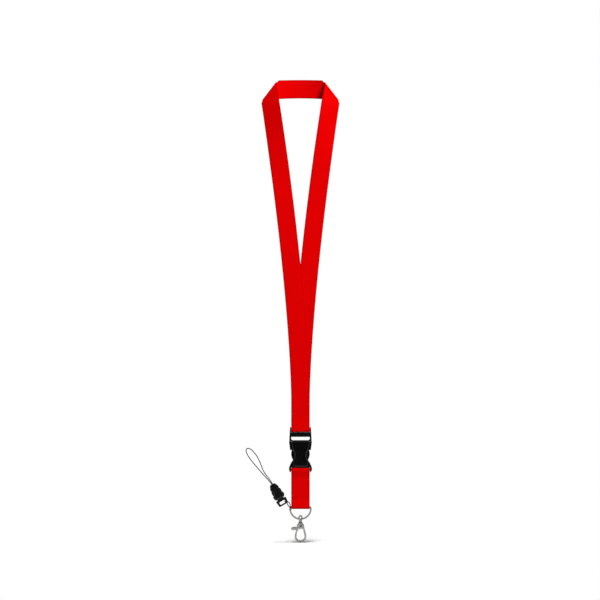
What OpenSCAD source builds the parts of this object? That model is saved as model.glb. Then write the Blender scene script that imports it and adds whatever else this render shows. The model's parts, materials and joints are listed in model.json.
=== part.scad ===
// Neck lanyard: red webbing neck loop, side release buckle, short strap with a
// D-ring and trigger hook, and a phone tether with its own small buckle.
// The front faces -Y. The origin is the middle of the neck strip's lower edge.

/* [Neck strap] */
// Width of the webbing
strap_w = 20; // [16:0.5:25]
// Thickness of the webbing
strap_t = 0.9; // [0.6:0.05:1.1]
// Half the distance between the two legs at the shoulder folds
leg_spread = 34.4; // [30:0.2:60]
// Height from the shoulder folds to where the legs come together
leg_drop = 335; // [260:5:420]
// Length of the joined legs above the buckle's bar
joined_l = 32.1; // [30:0.1:50]
// Rise of the neck strip from its folds to its middle
neck_arch = 1.8; // [0:0.2:5]
// How far each shoulder fold lies inside the crossing of the leg and the neck strip
fold_inset = 1.8; // [0:0.1:3]
// How far the middle of the neck strip bows to the back
neck_bow = 4.5; // [0:0.25:6]
// How far the inner edge of each leg stands forward below its shoulder fold
leg_open = 4.4; // [0:0.2:6]
// Length of the sewn tail behind the joined legs
tail_l = 20; // [18:0.5:29]

/* [Side release buckle] */
// Thickness of the socket at its mouth
buckle_t = 7; // [6.5:0.25:9]
// Diameter of the bars that the straps loop round
bar_d = 2.6; // [2:0.1:3.2]
// Width of the side rails beside the webbing
rail_w = 1.8; // [1.4:0.1:2.6]
// Thickness of the plug's ladder frame
frame_t = 3.6; // [3:0.2:5]
// Height of the ribbed middle bar
rib_bar_h = 4.7; // [3.5:0.1:6]
// Height of the open slot below the ribbed bar
ladder_slot_h = 3.6; // [2.5:0.1:5]
// Length of the closed mouth of the socket
mouth_l = 9.4; // [8:0.2:12]
// Length of the side windows
window_l = 11.1; // [10:0.1:13]
// Depth of the curved bite of a window into the plates
window_bite = 2; // [1.5:0.1:3.4]
// Length of the socket below its windows, to the strap's slot
shoulder_l = 7.3; // [6:0.1:10]

/* [Short strap and ring] */
// Distance between the two bars that the short strap joins
short_l = 40.4; // [38:0.2:60]
// Gap between the webbing's edge and the inside of the D-ring
ring_side_gap = 0.25; // [0.2:0.05:3]
// Diameter of the D-ring's wire
ring_wire_d = 1.9; // [1.6:0.1:2.2]
// Bend radius of the D-ring's two upper corners
ring_bend = 2; // [1.8:0.1:3]

/* [Trigger hook] */
// Radius of the hole in the swivel eye
eye_hole_r = 2.1; // [2.1:0.05:2.6]
// Diameter of the swivel eye's wire
eye_wire_d = 1.6; // [1.4:0.1:1.8]
// Turn of the eye away from edge-on
eye_turn = 35; // [20:1:40]
// Diameter of the swivel's shank
shank_d = 2.2; // [1.8:0.1:2.6]
// Outer width of the hook's loop
hook_w = 12.9; // [12:0.1:16]
// Diameter of the hook's wire
hook_wire_d = 2.2; // [1.8:0.1:2.6]
// Lean of the hook's sides from upright
hook_lean = 13; // [10:0.5:15]
// Length of the hook's straight side
hook_side_l = 9.8; // [9.4:0.1:12]
// Thickness of the hook's block
block_t = 4.4; // [4:0.1:6]
// Length of the thumb tab on the gate
tab_l = 5; // [3:0.1:7]
// Diameter of the gate's pin
gate_pin_d = 1.2; // [0.9:0.1:1.5]

/* [Phone tether] */
// Size of the small buckle's latch against the large one's
small_scale = 0.56; // [0.5:0.01:0.58]
// Lean of the tether from upright
tether_lean = 30; // [24:1:40]
// Distance from the ring's corner to the small frame's edge
link_l = 6.4; // [5:0.1:9]
// Diameter of the link and loop cord
cord_d = 1; // [0.6:0.05:1.05]
// Width of the small frame at its outer edge
small_frame_w = 10.6; // [10.2:0.1:12]
// Height of the small frame
small_frame_h = 7.4; // [6.6:0.1:9]
// Thickness of the small frame
small_frame_t = 3; // [2.4:0.1:3.6]
// Thickness of the small socket at its mouth
small_socket_t = 4.2; // [4:0.1:5]
// Length of the small socket
small_socket_l = 17.4; // [17:0.1:20]

/* [Hidden] */
$fn = 48;

red = "#e10102";
dark_red = "#b80a0a";
black = "#141416";
cord_black = "#1c1c1e";
nickel = "#b4b2ae";

// Clearances
layer_gap = 0.1;      // between sewn layers of webbing
loop_gap = 0.2;       // between webbing and a bar it loops round
ring_loop_gap = 0.5;  // between webbing and the ring's bar, for the ring's corners
web_gap = 0.3;        // between the webbing's edge and a slot's end
seat_gap = 0.3;       // between moulded parts that meet
pivot_gap = 0.08;     // round a knuckle in its recess
pin_gap = 0.05;       // round a pin or shank in its bore

// Webbing layers and loops
layer = strap_t + layer_gap;
fold_r = (strap_t + 2 * layer_gap) / 2;
bar_r = bar_d / 2;
bar_loop_r = bar_r + loop_gap + strap_t / 2;
bar_loop_out = bar_loop_r + strap_t / 2;
spread_l = 12;        // height over which the layers spread round a bar

// Shoulder folds: the legs lean out, and each fold line halves the turn into the neck strip
fold_z = strap_w / 2 - neck_arch;
leg_lean = atan(1.5 * leg_spread / leg_drop);
neck_slope = atan(2 * neck_arch / leg_spread);
fold_angle = (90 - leg_lean + 180 - neck_slope) / 2;
fold_half = strap_w / 2 / sin(fold_angle - 90 + leg_lean);
leg_dir = [sin(leg_lean), cos(leg_lean)];
fold_mid = [leg_spread, fold_z] - leg_dir * fold_inset / sin(fold_angle - 90 + leg_lean);
corner_low = fold_mid - fold_half * [cos(fold_angle), sin(fold_angle)];
corner_top = fold_mid + fold_half * [cos(fold_angle), sin(fold_angle)];
fold_margin = 1;
open_l = 95;          // height over which an opened leg turns flat again

// Heights down the lanyard
bar_z = fold_z - leg_drop - joined_l;
base_h = 0.9;
plug_h = base_h + ladder_slot_h + rib_bar_h + seat_gap + bar_loop_out;
plug_z = bar_z - plug_h;
socket_top = plug_z - seat_gap;
slot_edge_l = mouth_l + window_l + shoulder_l;
socket_bar_l = slot_edge_l + seat_gap + bar_loop_out;
socket_bar_z = socket_top - socket_bar_l;
ring_z = socket_bar_z - short_l;

// Buckle widths
slot_hw = strap_w / 2 + web_gap;
buckle_hw = slot_hw + rail_w;
cavity_hw = buckle_hw - 3.5;
cavity_t = buckle_t - 2.6;
arm_t = cavity_t - 0.6;
cavity_l = mouth_l + window_l + 0.9;

// Release arm, measured from the plug's base: knuckle, latch shoulder, bulge and tip
knuckle_r = 1.2;
arm_x = cavity_hw - 1.7;
arm_z = -1.7;
arm_in = cavity_hw - 2.4;
arm_out = cavity_hw - 0.8;
latch_z = -(2 * seat_gap + mouth_l);
latch_x = cavity_hw + 1;
arm_tip_z = latch_z - window_l + 0.5;
tongue_hw = 3.2;
tongue_l = 15;

// D-ring
ring_wire_r = ring_wire_d / 2;
ring_r = strap_w / 2 + ring_side_gap + ring_wire_r;
ring_arc_z = ring_z - ring_bend;
ring_low_z = ring_arc_z - ring_r;
ring_loop_r = ring_wire_r + ring_loop_gap + strap_t / 2;
ring_loop_out = ring_loop_r + strap_t / 2;

// Seams of the short strap and of the joined legs
seam_rise = 9.5;      // lower seam above the ring's bar
neck_seam_rise = 15.3; // upper seam above the buckle's bar
overlap_l = 6;        // length of the short strap's overlap at the back
stitch = [1.7, 0.3, 0.5];
stitch_count = 7;

// Swivel eye and hook
eye_wire_r = eye_wire_d / 2;
eye_r = eye_hole_r + eye_wire_r;
eye_z = ring_low_z - ring_wire_r - seat_gap + eye_hole_r;
foot_h = 0.8;
foot_r = 2.3;
foot_z = eye_z - eye_r - eye_wire_r - foot_h / 2;
shank_r = shank_d / 2;
collar_top = foot_z - foot_h / 2 - 0.2;
collar_h = 1.9;
collar_r = 3;
cage_z = collar_top - collar_h;
cage_h = 2.4;
cage_hw = 2;
head_r = cage_hw - 0.3;
head_h = 0.9;
block_bottom = cage_z - cage_h - 2.3;
hook_wire_r = hook_wire_d / 2;
hook_r = hook_w / 2 - hook_wire_r;
hook_side_r = hook_wire_r - 0.1;
side_x = hook_r * cos(hook_lean);
side_top_x = side_x - hook_side_l * sin(hook_lean);
side_top_z = cage_z - cage_h;
hook_z = side_top_z - hook_side_l * cos(hook_lean) - hook_r * sin(hook_lean);
nose_l = 1.6;
wire_lap = 0.3;       // length by which a straight wire runs into a bend

// Gate: pivot, arm, thumb tab and leaf spring
gate_t = 2;
gate_slot_t = gate_t + 0.2;
gate_x = -1.5;
gate_z = side_top_z - 1.2;
gate_boss_r = gate_pin_d / 2 + 0.6;
gate_pin_r = gate_pin_d / 2;
slot_end_x = gate_x + gate_boss_r + 1;
tab_t = 3.4;
spring_t = 0.3;
nose_top = hook_z + hook_r * sin(hook_lean) + nose_l * cos(hook_lean);
gate_tip_z = nose_top + 0.8;

// Phone tether
cord_r = cord_d / 2;
hitch_z = ring_z - ring_loop_out - seat_gap - cord_r;
hitch_angle = asin((ring_arc_z - hitch_z) / ring_r);
hitch_r = ring_wire_r + pivot_gap + cord_r;
knot_r = 0.7;
knot_angle = 155;     // place of the knots round the ring's left corner
knot_x = ring_bend - ring_r + ring_bend * cos(knot_angle);
knot_y = ring_wire_r + pivot_gap + knot_r;
knot_z = ring_arc_z + ring_bend * sin(knot_angle);
small_bar_h = 1.1;
small_slot_h = 3.5;
small_slot_hw = 3.3;
link_off = small_slot_hw + 0.9;
link_y = small_frame_t / 2 + cord_r + 0.15;
link_turn = [small_slot_hw - cord_r - 0.2, small_bar_h + cord_r + 1];
small_neck_h = 0.6;
small_base = small_frame_h + small_neck_h;
small_mouth = small_base + seat_gap * small_scale;
small_top = small_mouth + small_socket_l;
small_cavity_end = small_mouth + cavity_l * small_scale;
stop_r = cavity_t / 2 * small_scale - 0.1;
stop_h = 1.8;
bore_r = 2 * cord_r + 0.08;
strand_off = cord_r + 0.02;

// Route of the phone loop from the small socket's top, across and along the tether
loop_route = [
    [-0.55, 1.5], [-0.9, 4], [-1.8, 8.5], [-3.1, 14], [-4.4, 21], [-5.7, 28], [-6.6, 33.5], [-7.1, 38.5],
    [-7.1, 42], [-6.6, 44.7], [-5.3, 46.5], [-3.4, 46.8], [-1.8, 45.4], [-0.5, 43], [0.4, 39], [0.9, 34],
    [0.7, 29.5], [0.1, 24.5], [-0.7, 20], [-0.9, 15.5], [-0.4, 10], [0.3, 5], [0.55, 1.5]
];

// Shared shapes

function smooth(t) = let (c = max(0, min(1, t))) c * c * (3 - 2 * c);

function mirrored(half) = concat(half, [for (i = [len(half) - 1:-1:0]) [-half[i].x, half[i].y]]);

function bend(p, q, r, n = 6) = [for (i = [0:n]) let (t = i / n)
    p * (1 - t) * (1 - t) + q * 2 * t * (1 - t) + r * t * t];

function spline(p, n) = concat([for (i = [0:len(p) - 2], k = [0:n - 1])
    let (a = p[max(i - 1, 0)], b = p[i], c = p[i + 1], d = p[min(i + 2, len(p) - 1)], t = k / n)
    b + ((c - a) * t + (a * 2 - b * 5 + c * 4 - d) * t * t + (b * 3 - a - c * 3 + d) * t * t * t) / 2],
    [p[len(p) - 1]]);

// Outline in X and Z, as thick as t in Y
module front_plate(outline, t) {
    rotate([90, 0, 0]) linear_extrude(t, center = true) polygon(outline);
}

// Outline in Y and Z, as wide as w in X
module side_plate(outline, w) {
    rotate([90, 0, 90]) linear_extrude(w, center = true) polygon(outline);
}

module pin_x(r, l) {
    rotate([0, 90, 0]) cylinder(r = r, h = l, center = true);
}

module pin_y(r, l) {
    rotate([90, 0, 0]) cylinder(r = r, h = l, center = true);
}

function quad_faces(a, b, c, d) = [[a, b, c], [a, c, d]];

// Solid band from ribs, each an edge point, the other edge point and the face normal
module ribbon(ribs, t) {
    n = len(ribs);
    points = [for (r = ribs) each [
        r[0] - r[2] * t / 2, r[0] + r[2] * t / 2, r[1] + r[2] * t / 2, r[1] - r[2] * t / 2]];
    sides = [for (i = [0:n - 2], k = [0:3]) let (a = 4 * i + k, b = 4 * i + (k + 1) % 4)
        each quad_faces(a, b, b + 4, a + 4)];
    last = 4 * (n - 1);
    polyhedron(points, concat(sides, quad_faces(3, 2, 1, 0),
        quad_faces(last, last + 1, last + 2, last + 3)), convexity = 10);
}

// Round cord along a path that never runs along ref
module tube(path, r, ref, sides = 8) {
    n = len(path);
    points = [for (i = [0:n - 1])
        let (d = path[min(i + 1, n - 1)] - path[max(i - 1, 0)],
             u = cross(d, ref) / norm(cross(d, ref)), v = cross(u, d) / norm(d))
        each [for (k = [0:sides - 1]) path[i] + r * (u * cos(360 * k / sides) + v * sin(360 * k / sides))]];
    walls = [for (i = [0:n - 2], k = [0:sides - 1])
        let (a = sides * i + k, b = sides * i + (k + 1) % sides)
        each quad_faces(a, b, b + sides, a + sides)];
    last = sides * (n - 1);
    caps = [for (k = [1:sides - 2]) each [[0, k + 1, k], [last, last + k, last + k + 1]]];
    polyhedron(points, concat(walls, caps), convexity = 10);
}

// Row of stitches on the front and back faces of sewn webbing
module stitch_row(z, front_y, back_y) {
    pitch = strap_w / (stitch_count + 0.5);
    for (i = [0:stitch_count - 1]) {
        x = (i - (stitch_count - 1) / 2) * pitch;
        translate([x, front_y - stitch.y / 2, z]) cube(stitch, center = true);
        translate([x, back_y + stitch.y / 2, z]) cube(stitch, center = true);
    }
}

// Neck strap

function leg_x(u) = leg_spread * pow(1 - min(u, 1), 1.5);
function leg_z(u) = fold_z - leg_drop * u;
function lean_at(u) = atan(1.5 * leg_spread * sqrt(1 - min(u, 1)) / leg_drop);

// The left leg lies in front and the right one goes between it and the sewn tail
function leg_y(side, u) = let (s = smooth((u - 0.1) / 0.3))
    -fold_r * (1 - s) + (side < 0 ? -layer * s : 0);

// The shoulder folds stand open like hinges, so the inner edge of each leg comes forward below them
function leg_open_at(u) = leg_open * (1 - smooth((corner_low.y - leg_z(u)) / open_l));

function leg_rib(side, u) = let (turn = asin(leg_open_at(u) / strap_w),
    w = [side * cos(lean_at(u)) * cos(turn), sin(turn), -sin(lean_at(u)) * cos(turn)] * strap_w / 2,
    c = [side * leg_x(u), leg_y(side, u) - leg_open_at(u) / 2, leg_z(u)])
    [c + w, c - w, [side * sin(turn), -cos(turn), 0]];

// Half turn round a shoulder fold, from the leg in front to the neck strip behind
function fold_rib(side, a) = let (out = [side * sin(fold_angle), 0, -cos(fold_angle)],
    run = fold_r * a * PI / 180 / tan(fold_angle - 90 + leg_lean),
    shift = out * fold_r * sin(a) - [0, fold_r * cos(a), 0] + run * [side * cos(fold_angle), 0, sin(fold_angle)])
    [[side * corner_low.x, 0, corner_low.y] + shift, [side * corner_top.x, 0, corner_top.y] + shift,
     out * sin(a) - [0, cos(a), 0]];

// Each edge of the neck strip bows back between its own two fold corners
neck_hw = corner_top.x - 2.5;
function bow_y(x, corner) = fold_r + neck_bow * (1 - pow(x / corner.x, 2));
function neck_rib(x) = let (slope = atan(2 * neck_arch * x / (leg_spread * leg_spread)),
    c = [x, 0, strap_w / 2 - neck_arch * pow(x / leg_spread, 2)],
    w = [sin(slope), 0, cos(slope)] * strap_w / 2)
    [c - w + [0, bow_y(x, corner_low), 0], c + w + [0, bow_y(x, corner_top), 0], [0, 1, 0]];

// Straight ribs of a strap round a bar: front is -1 or 1 for the front or back layer
function flat_rib(y, z, ny) = [[-strap_w / 2, y, z], [strap_w / 2, y, z], [0, ny, 0]];
function spread_y(h) = layer + (bar_loop_r - layer) * smooth(1 - h / spread_l);

module neck_strap() {
    u_top = (fold_z - corner_low.y - sin(leg_lean) * strap_w / 2 + fold_margin) / leg_drop;
    u_low = (fold_z - bar_z - spread_l) / leg_drop;
    leg_steps = 26;
    us = [for (i = [0:leg_steps]) u_top + (u_low - u_top) * i / leg_steps];
    ribs = concat(
        [for (i = [leg_steps:-1:0]) leg_rib(1, us[i])],
        [for (a = [0:30:180]) fold_rib(1, a)],
        [for (i = [8:-1:-8]) neck_rib(neck_hw * i / 8)],
        [for (a = [180:-30:0]) fold_rib(-1, a)],
        [for (u = us) leg_rib(-1, u)],
        [for (i = [1:5]) let (h = spread_l * (1 - i / 6)) flat_rib(-spread_y(h), bar_z + h, -1)],
        [for (a = [0:20:180]) [[-strap_w / 2, -bar_loop_r * cos(a), bar_z - bar_loop_r * sin(a)],
            [strap_w / 2, -bar_loop_r * cos(a), bar_z - bar_loop_r * sin(a)], [0, -cos(a), -sin(a)]]],
        [for (i = [1:6]) let (h = spread_l * i / 6) flat_rib(spread_y(h), bar_z + h, 1)],
        [flat_rib(layer, bar_z + tail_l, 1)]);
    color(red) ribbon(ribs, strap_t);
}

module neck_seam_thread() {
    face = layer + strap_t / 2;
    color(dark_red) stitch_row(bar_z + neck_seam_rise, -face, face);
}

// Side release buckle, measured from the underside of the plug's base

module latch_arm() {
    outline = concat(
        [[arm_in, arm_z], [arm_out, arm_z], [arm_out, latch_z]],
        bend([latch_x, latch_z], [latch_x + 1, latch_z - 4.5], [cavity_hw - 0.3, arm_tip_z + 1]),
        bend([cavity_hw - 0.7, arm_tip_z + 0.4], [cavity_hw - 1.4, arm_tip_z - 0.2],
            [cavity_hw - 2.2, arm_tip_z + 0.7], 3));
    front_plate(outline, arm_t);
    translate([arm_x, 0, arm_z]) pin_y(knuckle_r, arm_t);
}

// Guide tongue and the two lugs whose recesses hold the arms' knuckles
module plug_core() {
    lug_in = arm_x - knuckle_r - 0.5;
    difference() {
        for (side = [-1, 1])
            translate([side * (lug_in + cavity_hw - seat_gap) / 2, 0, arm_z / 2])
                cube([cavity_hw - seat_gap - lug_in, arm_t, -arm_z], center = true);
        for (side = [-1, 1])
            translate([side * arm_x, 0, arm_z]) pin_y(knuckle_r + pivot_gap, arm_t + 1);
    }
    tongue_end = tongue_l - tongue_hw;
    translate([0, 0, -tongue_end / 2]) cube([2 * tongue_hw, arm_t, tongue_end], center = true);
    translate([0, 0, -tongue_end]) pin_y(tongue_hw, arm_t);
}

// Cavity for the plug, and the two side windows with their curved bite
module socket_cut() {
    edge = cavity_hw - 0.2;
    win_r = (window_l * window_l / 4 + window_bite * window_bite) / (2 * window_bite);
    win_z = -seat_gap - mouth_l - window_l / 2;
    translate([0, 0, -cavity_l / 2]) cube([2 * cavity_hw, cavity_t, cavity_l + 2], center = true);
    for (side = [-1, 1]) {
        translate([side * (edge + 10), 0, win_z]) cube([20, 40, window_l], center = true);
        intersection() {
            translate([side * (edge - window_bite + win_r), 0, win_z]) pin_y(win_r, 40);
            translate([side * edge, 0, win_z]) cube([2 * window_bite + 2, 41, window_l], center = true);
        }
    }
}

module plug_frame() {
    rail_top = plug_h + bar_r + 1.9;
    rib_bar_z = base_h + ladder_slot_h;
    corner_r = 1.5;
    rib_count = 9;
    outline = mirrored([[buckle_hw, 0], [buckle_hw, base_h], [buckle_hw - 0.6, plug_h],
        [buckle_hw - 0.8, rail_top - 0.6], [buckle_hw - 1.2, rail_top]]);
    color(black) translate([0, 0, plug_z]) {
        difference() {
            front_plate(outline, frame_t);
            translate([0, 0, rib_bar_z + rib_bar_h + 20]) cube([2 * slot_hw, 20, 40], center = true);
            translate([0, 0, base_h + corner_r + ladder_slot_h / 2])
                cube([2 * slot_hw, 20, ladder_slot_h - 2 * corner_r + corner_r], center = true);
            translate([0, 0, base_h + ladder_slot_h / 2])
                cube([2 * (slot_hw - corner_r), 20, ladder_slot_h], center = true);
            for (side = [-1, 1])
                translate([side * (slot_hw - corner_r), 0, base_h + corner_r]) pin_y(corner_r, 20);
        }
        translate([0, 0, base_h / 2]) cube([2 * buckle_hw, buckle_t - 1.2, base_h], center = true);
        translate([0, 0, plug_h]) pin_x(bar_r, 2 * slot_hw + 1);
        for (i = [0:rib_count - 1])
            translate([(i - (rib_count - 1) / 2) * 2 * slot_hw / rib_count, -frame_t / 2, rib_bar_z + rib_bar_h / 2])
                cube([0.9, 0.6, rib_bar_h - 1], center = true);
        plug_core();
    }
}

module left_release_arm() {
    color(black) translate([0, 0, plug_z]) mirror([1, 0, 0]) latch_arm();
}

module right_release_arm() {
    color(black) translate([0, 0, plug_z]) latch_arm();
}

module socket_body() {
    waist = cavity_hw - 0.2;
    ear_z = -socket_bar_l - bar_r - 1.4;
    waist_z = -mouth_l - window_l;
    outline = mirrored(concat(
        [[buckle_hw + 0.3, 0], [buckle_hw - 1, -mouth_l], [waist, waist_z]],
        bend([waist + 0.3, waist_z - 0.4], [buckle_hw - 0.3, waist_z - 2.7], [buckle_hw + 0.3, -slot_edge_l - 0.4]),
        bend([buckle_hw + 0.3, -socket_bar_l], [buckle_hw, ear_z + 0.4], [slot_hw + 0.3, ear_z], 4),
        [[slot_hw - 1, ear_z]]));
    ear_t = buckle_t - 1.8;
    profile = mirrored([[buckle_t / 2 - 0.4, 0], [buckle_t / 2, -1], [buckle_t / 2, waist_z],
        [ear_t / 2, ear_z]]);
    color(black) translate([0, 0, socket_top]) {
        difference() {
            intersection() {
                front_plate(outline, 2 * buckle_t);
                side_plate(profile, 4 * buckle_hw);
            }
            translate([0, 0, seat_gap]) socket_cut();
            translate([0, 0, -slot_edge_l - 20]) cube([2 * slot_hw, 20, 40], center = true);
        }
        translate([0, 0, -socket_bar_l]) pin_x(bar_r, 2 * slot_hw + 1);
    }
}

// Short strap: one strip round both bars, with its ends overlapped and sewn at the back

back_y = layer / 2;
flap_y = back_y + layer;

function loop_arc(r, z, a0, a1, n = 9) = [for (i = [0:n]) let (a = a0 + (a1 - a0) * i / n)
    [r * cos(a), z + r * sin(a)]];

function ease(y0, z0, y1, z1, n = 5) = [for (i = [1:n - 1])
    [y0 + (y1 - y0) * smooth(i / n), z0 + (z1 - z0) * i / n]];

// Band outline on both sides of a path in Y and Z
function band(path, t) = let (n = len(path),
    normals = [for (i = [0:n - 1]) let (d = path[min(i + 1, n - 1)] - path[max(i - 1, 0)])
        [-d.y, d.x] / norm(d)])
    concat([for (i = [0:n - 1]) path[i] + normals[i] * t / 2],
           [for (i = [n - 1:-1:0]) path[i] - normals[i] * t / 2]);

seam_z = ring_z + seam_rise;
flap_top = seam_z + overlap_l / 2;

module short_strap() {
    turn_l = 9;
    top_z = socket_bar_z - turn_l;
    low_z = ring_z + turn_l;
    path = concat(
        [[back_y, seam_z - overlap_l / 2], [back_y, top_z]],
        ease(back_y, top_z, bar_loop_r, socket_bar_z),
        loop_arc(bar_loop_r, socket_bar_z, 0, 180),
        ease(-bar_loop_r, socket_bar_z, -back_y, top_z),
        [[-back_y, top_z], [-back_y, low_z]],
        ease(-back_y, low_z, -ring_loop_r, ring_z),
        loop_arc(ring_loop_r, ring_z, 180, 360),
        ease(ring_loop_r, ring_z, flap_y, low_z),
        [[flap_y, low_z], [flap_y, flap_top]]);
    color(red) side_plate(band(path, strap_t), strap_w);
}

module short_strap_thread() {
    color(dark_red) stitch_row(seam_z, -back_y - strap_t / 2, flap_y + strap_t / 2);
}

// Ring, swivel and hook

module wire_arc(bend_r, wire_r, from, sweep) {
    rotate([90, 0, 0]) rotate([0, 0, from]) rotate_extrude(angle = sweep) translate([bend_r, 0]) circle(wire_r);
}

module d_ring() {
    straight = ring_r - ring_bend;
    color(nickel) {
        translate([0, 0, ring_z]) pin_x(ring_wire_r, 2 * straight);
        translate([straight, 0, ring_arc_z]) wire_arc(ring_bend, ring_wire_r, 0, 90);
        translate([-straight, 0, ring_arc_z]) wire_arc(ring_bend, ring_wire_r, 90, 90);
        translate([0, 0, ring_arc_z]) wire_arc(ring_r, ring_wire_r, 180, 180);
    }
}

module swivel_eye() {
    head_z = cage_z - 0.3 - head_h;
    color(nickel) {
        translate([0, 0, eye_z]) rotate([0, 0, 90 - eye_turn]) wire_arc(eye_r, eye_wire_r, 0, 360);
        translate([0, 0, foot_z - foot_h / 2]) cylinder(r = foot_r, h = foot_h);
        translate([0, 0, foot_z]) cylinder(r = shank_r, h = eye_wire_d);
        translate([0, 0, head_z]) cylinder(r = shank_r, h = foot_z - head_z);
        translate([0, 0, head_z]) cylinder(r = head_r, h = head_h);
    }
}

// Half width of the hook's outside at a height, along its leaning sides
function hook_hw(z) = side_top_x + (side_top_z - z) * tan(hook_lean) + hook_side_r / cos(hook_lean);

module hook_side(l) {
    rotate([0, -hook_lean, 0]) translate([0, 0, -wire_lap]) cylinder(r = hook_side_r, h = l + wire_lap);
}

module hook_body() {
    block_top = collar_top - collar_h / 2;
    block = mirrored([[hook_hw(block_top), block_top], [hook_hw(block_bottom), block_bottom]]);
    slot_top = side_top_z + 0.3;
    slot_h = slot_top - block_bottom + 1;
    color(nickel) {
        difference() {
            union() {
                translate([0, 0, cage_z]) cylinder(r = collar_r, h = collar_h);
                front_plate(block, block_t);
            }
            translate([0, 0, cage_z - 1]) cylinder(r = shank_r + pin_gap, h = collar_h + 2);
            translate([0, 0, cage_z - cage_h / 2]) cube([2 * cage_hw, 2 * block_t, cage_h], center = true);
            translate([slot_end_x - 10, -gate_slot_t / 2, slot_top - slot_h]) cube([10, gate_slot_t, slot_h]);
            translate([gate_x, 0, gate_z]) pin_y(gate_pin_r, 2 * block_t);
        }
        translate([side_x, 0, hook_z + hook_r * sin(hook_lean)]) hook_side(hook_side_l);
        translate([0, 0, hook_z]) wire_arc(hook_r, hook_wire_r, 180 - hook_lean, 180 + 2 * hook_lean);
        translate([-side_x, 0, hook_z + hook_r * sin(hook_lean)]) mirror([1, 0, 0]) hook_side(nose_l);
    }
}

module hook_gate() {
    arm_w = 1.9;
    tip_x = -hook_hw(gate_tip_z);
    arm_top = block_bottom - 0.2;
    neck_x = -hook_hw(block_bottom) - 0.7;
    tab_top = gate_z + 1.5;
    tab_low = gate_z - 2.4;
    arm = [[gate_x - gate_boss_r, gate_z + 0.6], [neck_x - 0.2, gate_z + 1], [neck_x - 0.2, arm_top - 0.8],
        [-hook_hw(arm_top - 1.2), arm_top - 1.2], [tip_x, gate_tip_z], [tip_x + arm_w, gate_tip_z],
        [-hook_hw(arm_top - 1) + arm_w, arm_top - 1], [gate_x + 0.5, gate_z - gate_boss_r + 0.2]];
    tab = [[neck_x, tab_top], [neck_x - tab_l + 0.4, tab_top - 1.2], [neck_x - tab_l, tab_top - 2],
        [neck_x - tab_l + 0.6, tab_low - 0.3], [neck_x, tab_low]];
    color(nickel) difference() {
        union() {
            front_plate(arm, gate_t);
            front_plate(tab, tab_t);
            translate([gate_x, 0, gate_z]) pin_y(gate_boss_r, gate_t);
        }
        translate([gate_x, 0, gate_z]) pin_y(gate_pin_r + pin_gap, 2 * gate_t);
    }
}

module gate_pin() {
    color(nickel) translate([gate_x, 0, gate_z]) pin_y(gate_pin_r, block_t + 0.5);
}

// Leaf spring from the end of the slot to the inside of the gate's arm
module gate_spring() {
    x = slot_end_x - spring_t / 2 - 0.05;
    press_z = block_bottom - 2.2;
    press_x = -hook_hw(press_z) + 1.9 + spring_t / 2 + 0.1;
    path = concat([[x, side_top_z - 0.1]],
        bend([x, gate_z], [x - 0.1, block_bottom - 0.9], [press_x, press_z], 6));
    color(nickel) front_plate(band(path, spring_t), gate_t - 0.4);
}

// Phone tether

module ring_hitch() {
    color(cord_black) translate([0, 0, ring_arc_z]) rotate([0, -hitch_angle, 0]) translate([-ring_r, 0, 0])
        rotate_extrude() translate([hitch_r, 0]) circle(cord_r);
}

// Frame of the tether: its origin is the middle of the small frame's outer edge
module at_tether() {
    translate([knot_x, 0, knot_z]) rotate([0, -tether_lean, 0]) translate([-link_off, 0, link_l]) children();
}

// The latch shapes of the large buckle, turned over and at the small buckle's size
module at_small_latch() {
    translate([0, 0, small_base]) rotate([0, 180, 0]) scale(small_scale) children();
}

// The two turns of the link in front of and behind the ring's wire
module link_knot() {
    color(cord_black) for (side = [-1, 1])
        translate([knot_x, side * knot_y, knot_z]) sphere(knot_r);
}

// One strand lies over the front of the small frame's corner and the other behind it
module link_cord() {
    start = -link_l + knot_r - 0.25;
    route = [
        [link_off + 0.2, -knot_y, start], [link_off + 1.4, -knot_y, -0.62 * link_l],
        [link_off + 2, -link_y, -0.25 * link_l], [link_off + 1.4, -link_y, 0.6], [link_off - 0.3, -link_y, 1.9],
        [link_turn.x, 0.3 - link_y, link_turn.y], [link_turn.x, 0, link_turn.y],
        [link_turn.x, link_y - 0.3, link_turn.y], [link_turn.x + 0.4, link_y, small_bar_h + 0.3],
        [link_off - 0.7, link_y, -0.4], [link_off - 0.7, knot_y, -0.55 * link_l], [link_off - 0.2, knot_y, start]];
    color(cord_black) at_tether() tube(spline(route, 2), cord_r, [1, 0, 0]);
}

module small_plug_frame() {
    hw = small_frame_w / 2;
    neck_hw = cavity_hw * small_scale;
    outline = mirrored([[hw - 0.4, 0], [hw, 0.4], [hw + 0.7, small_frame_h - 1.4], [hw + 0.4, small_frame_h]]);
    color(black) at_tether() {
        difference() {
            front_plate(outline, small_frame_t);
            translate([0, 0, small_bar_h + small_slot_h / 2])
                cube([2 * small_slot_hw, 10, small_slot_h], center = true);
        }
        translate([0, 0, small_base - small_neck_h / 2])
            cube([2 * neck_hw, small_frame_t, small_neck_h], center = true);
        at_small_latch() plug_core();
    }
}

module small_left_arm() {
    color(black) at_tether() at_small_latch() latch_arm();
}

module small_right_arm() {
    color(black) at_tether() at_small_latch() mirror([1, 0, 0]) latch_arm();
}

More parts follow.
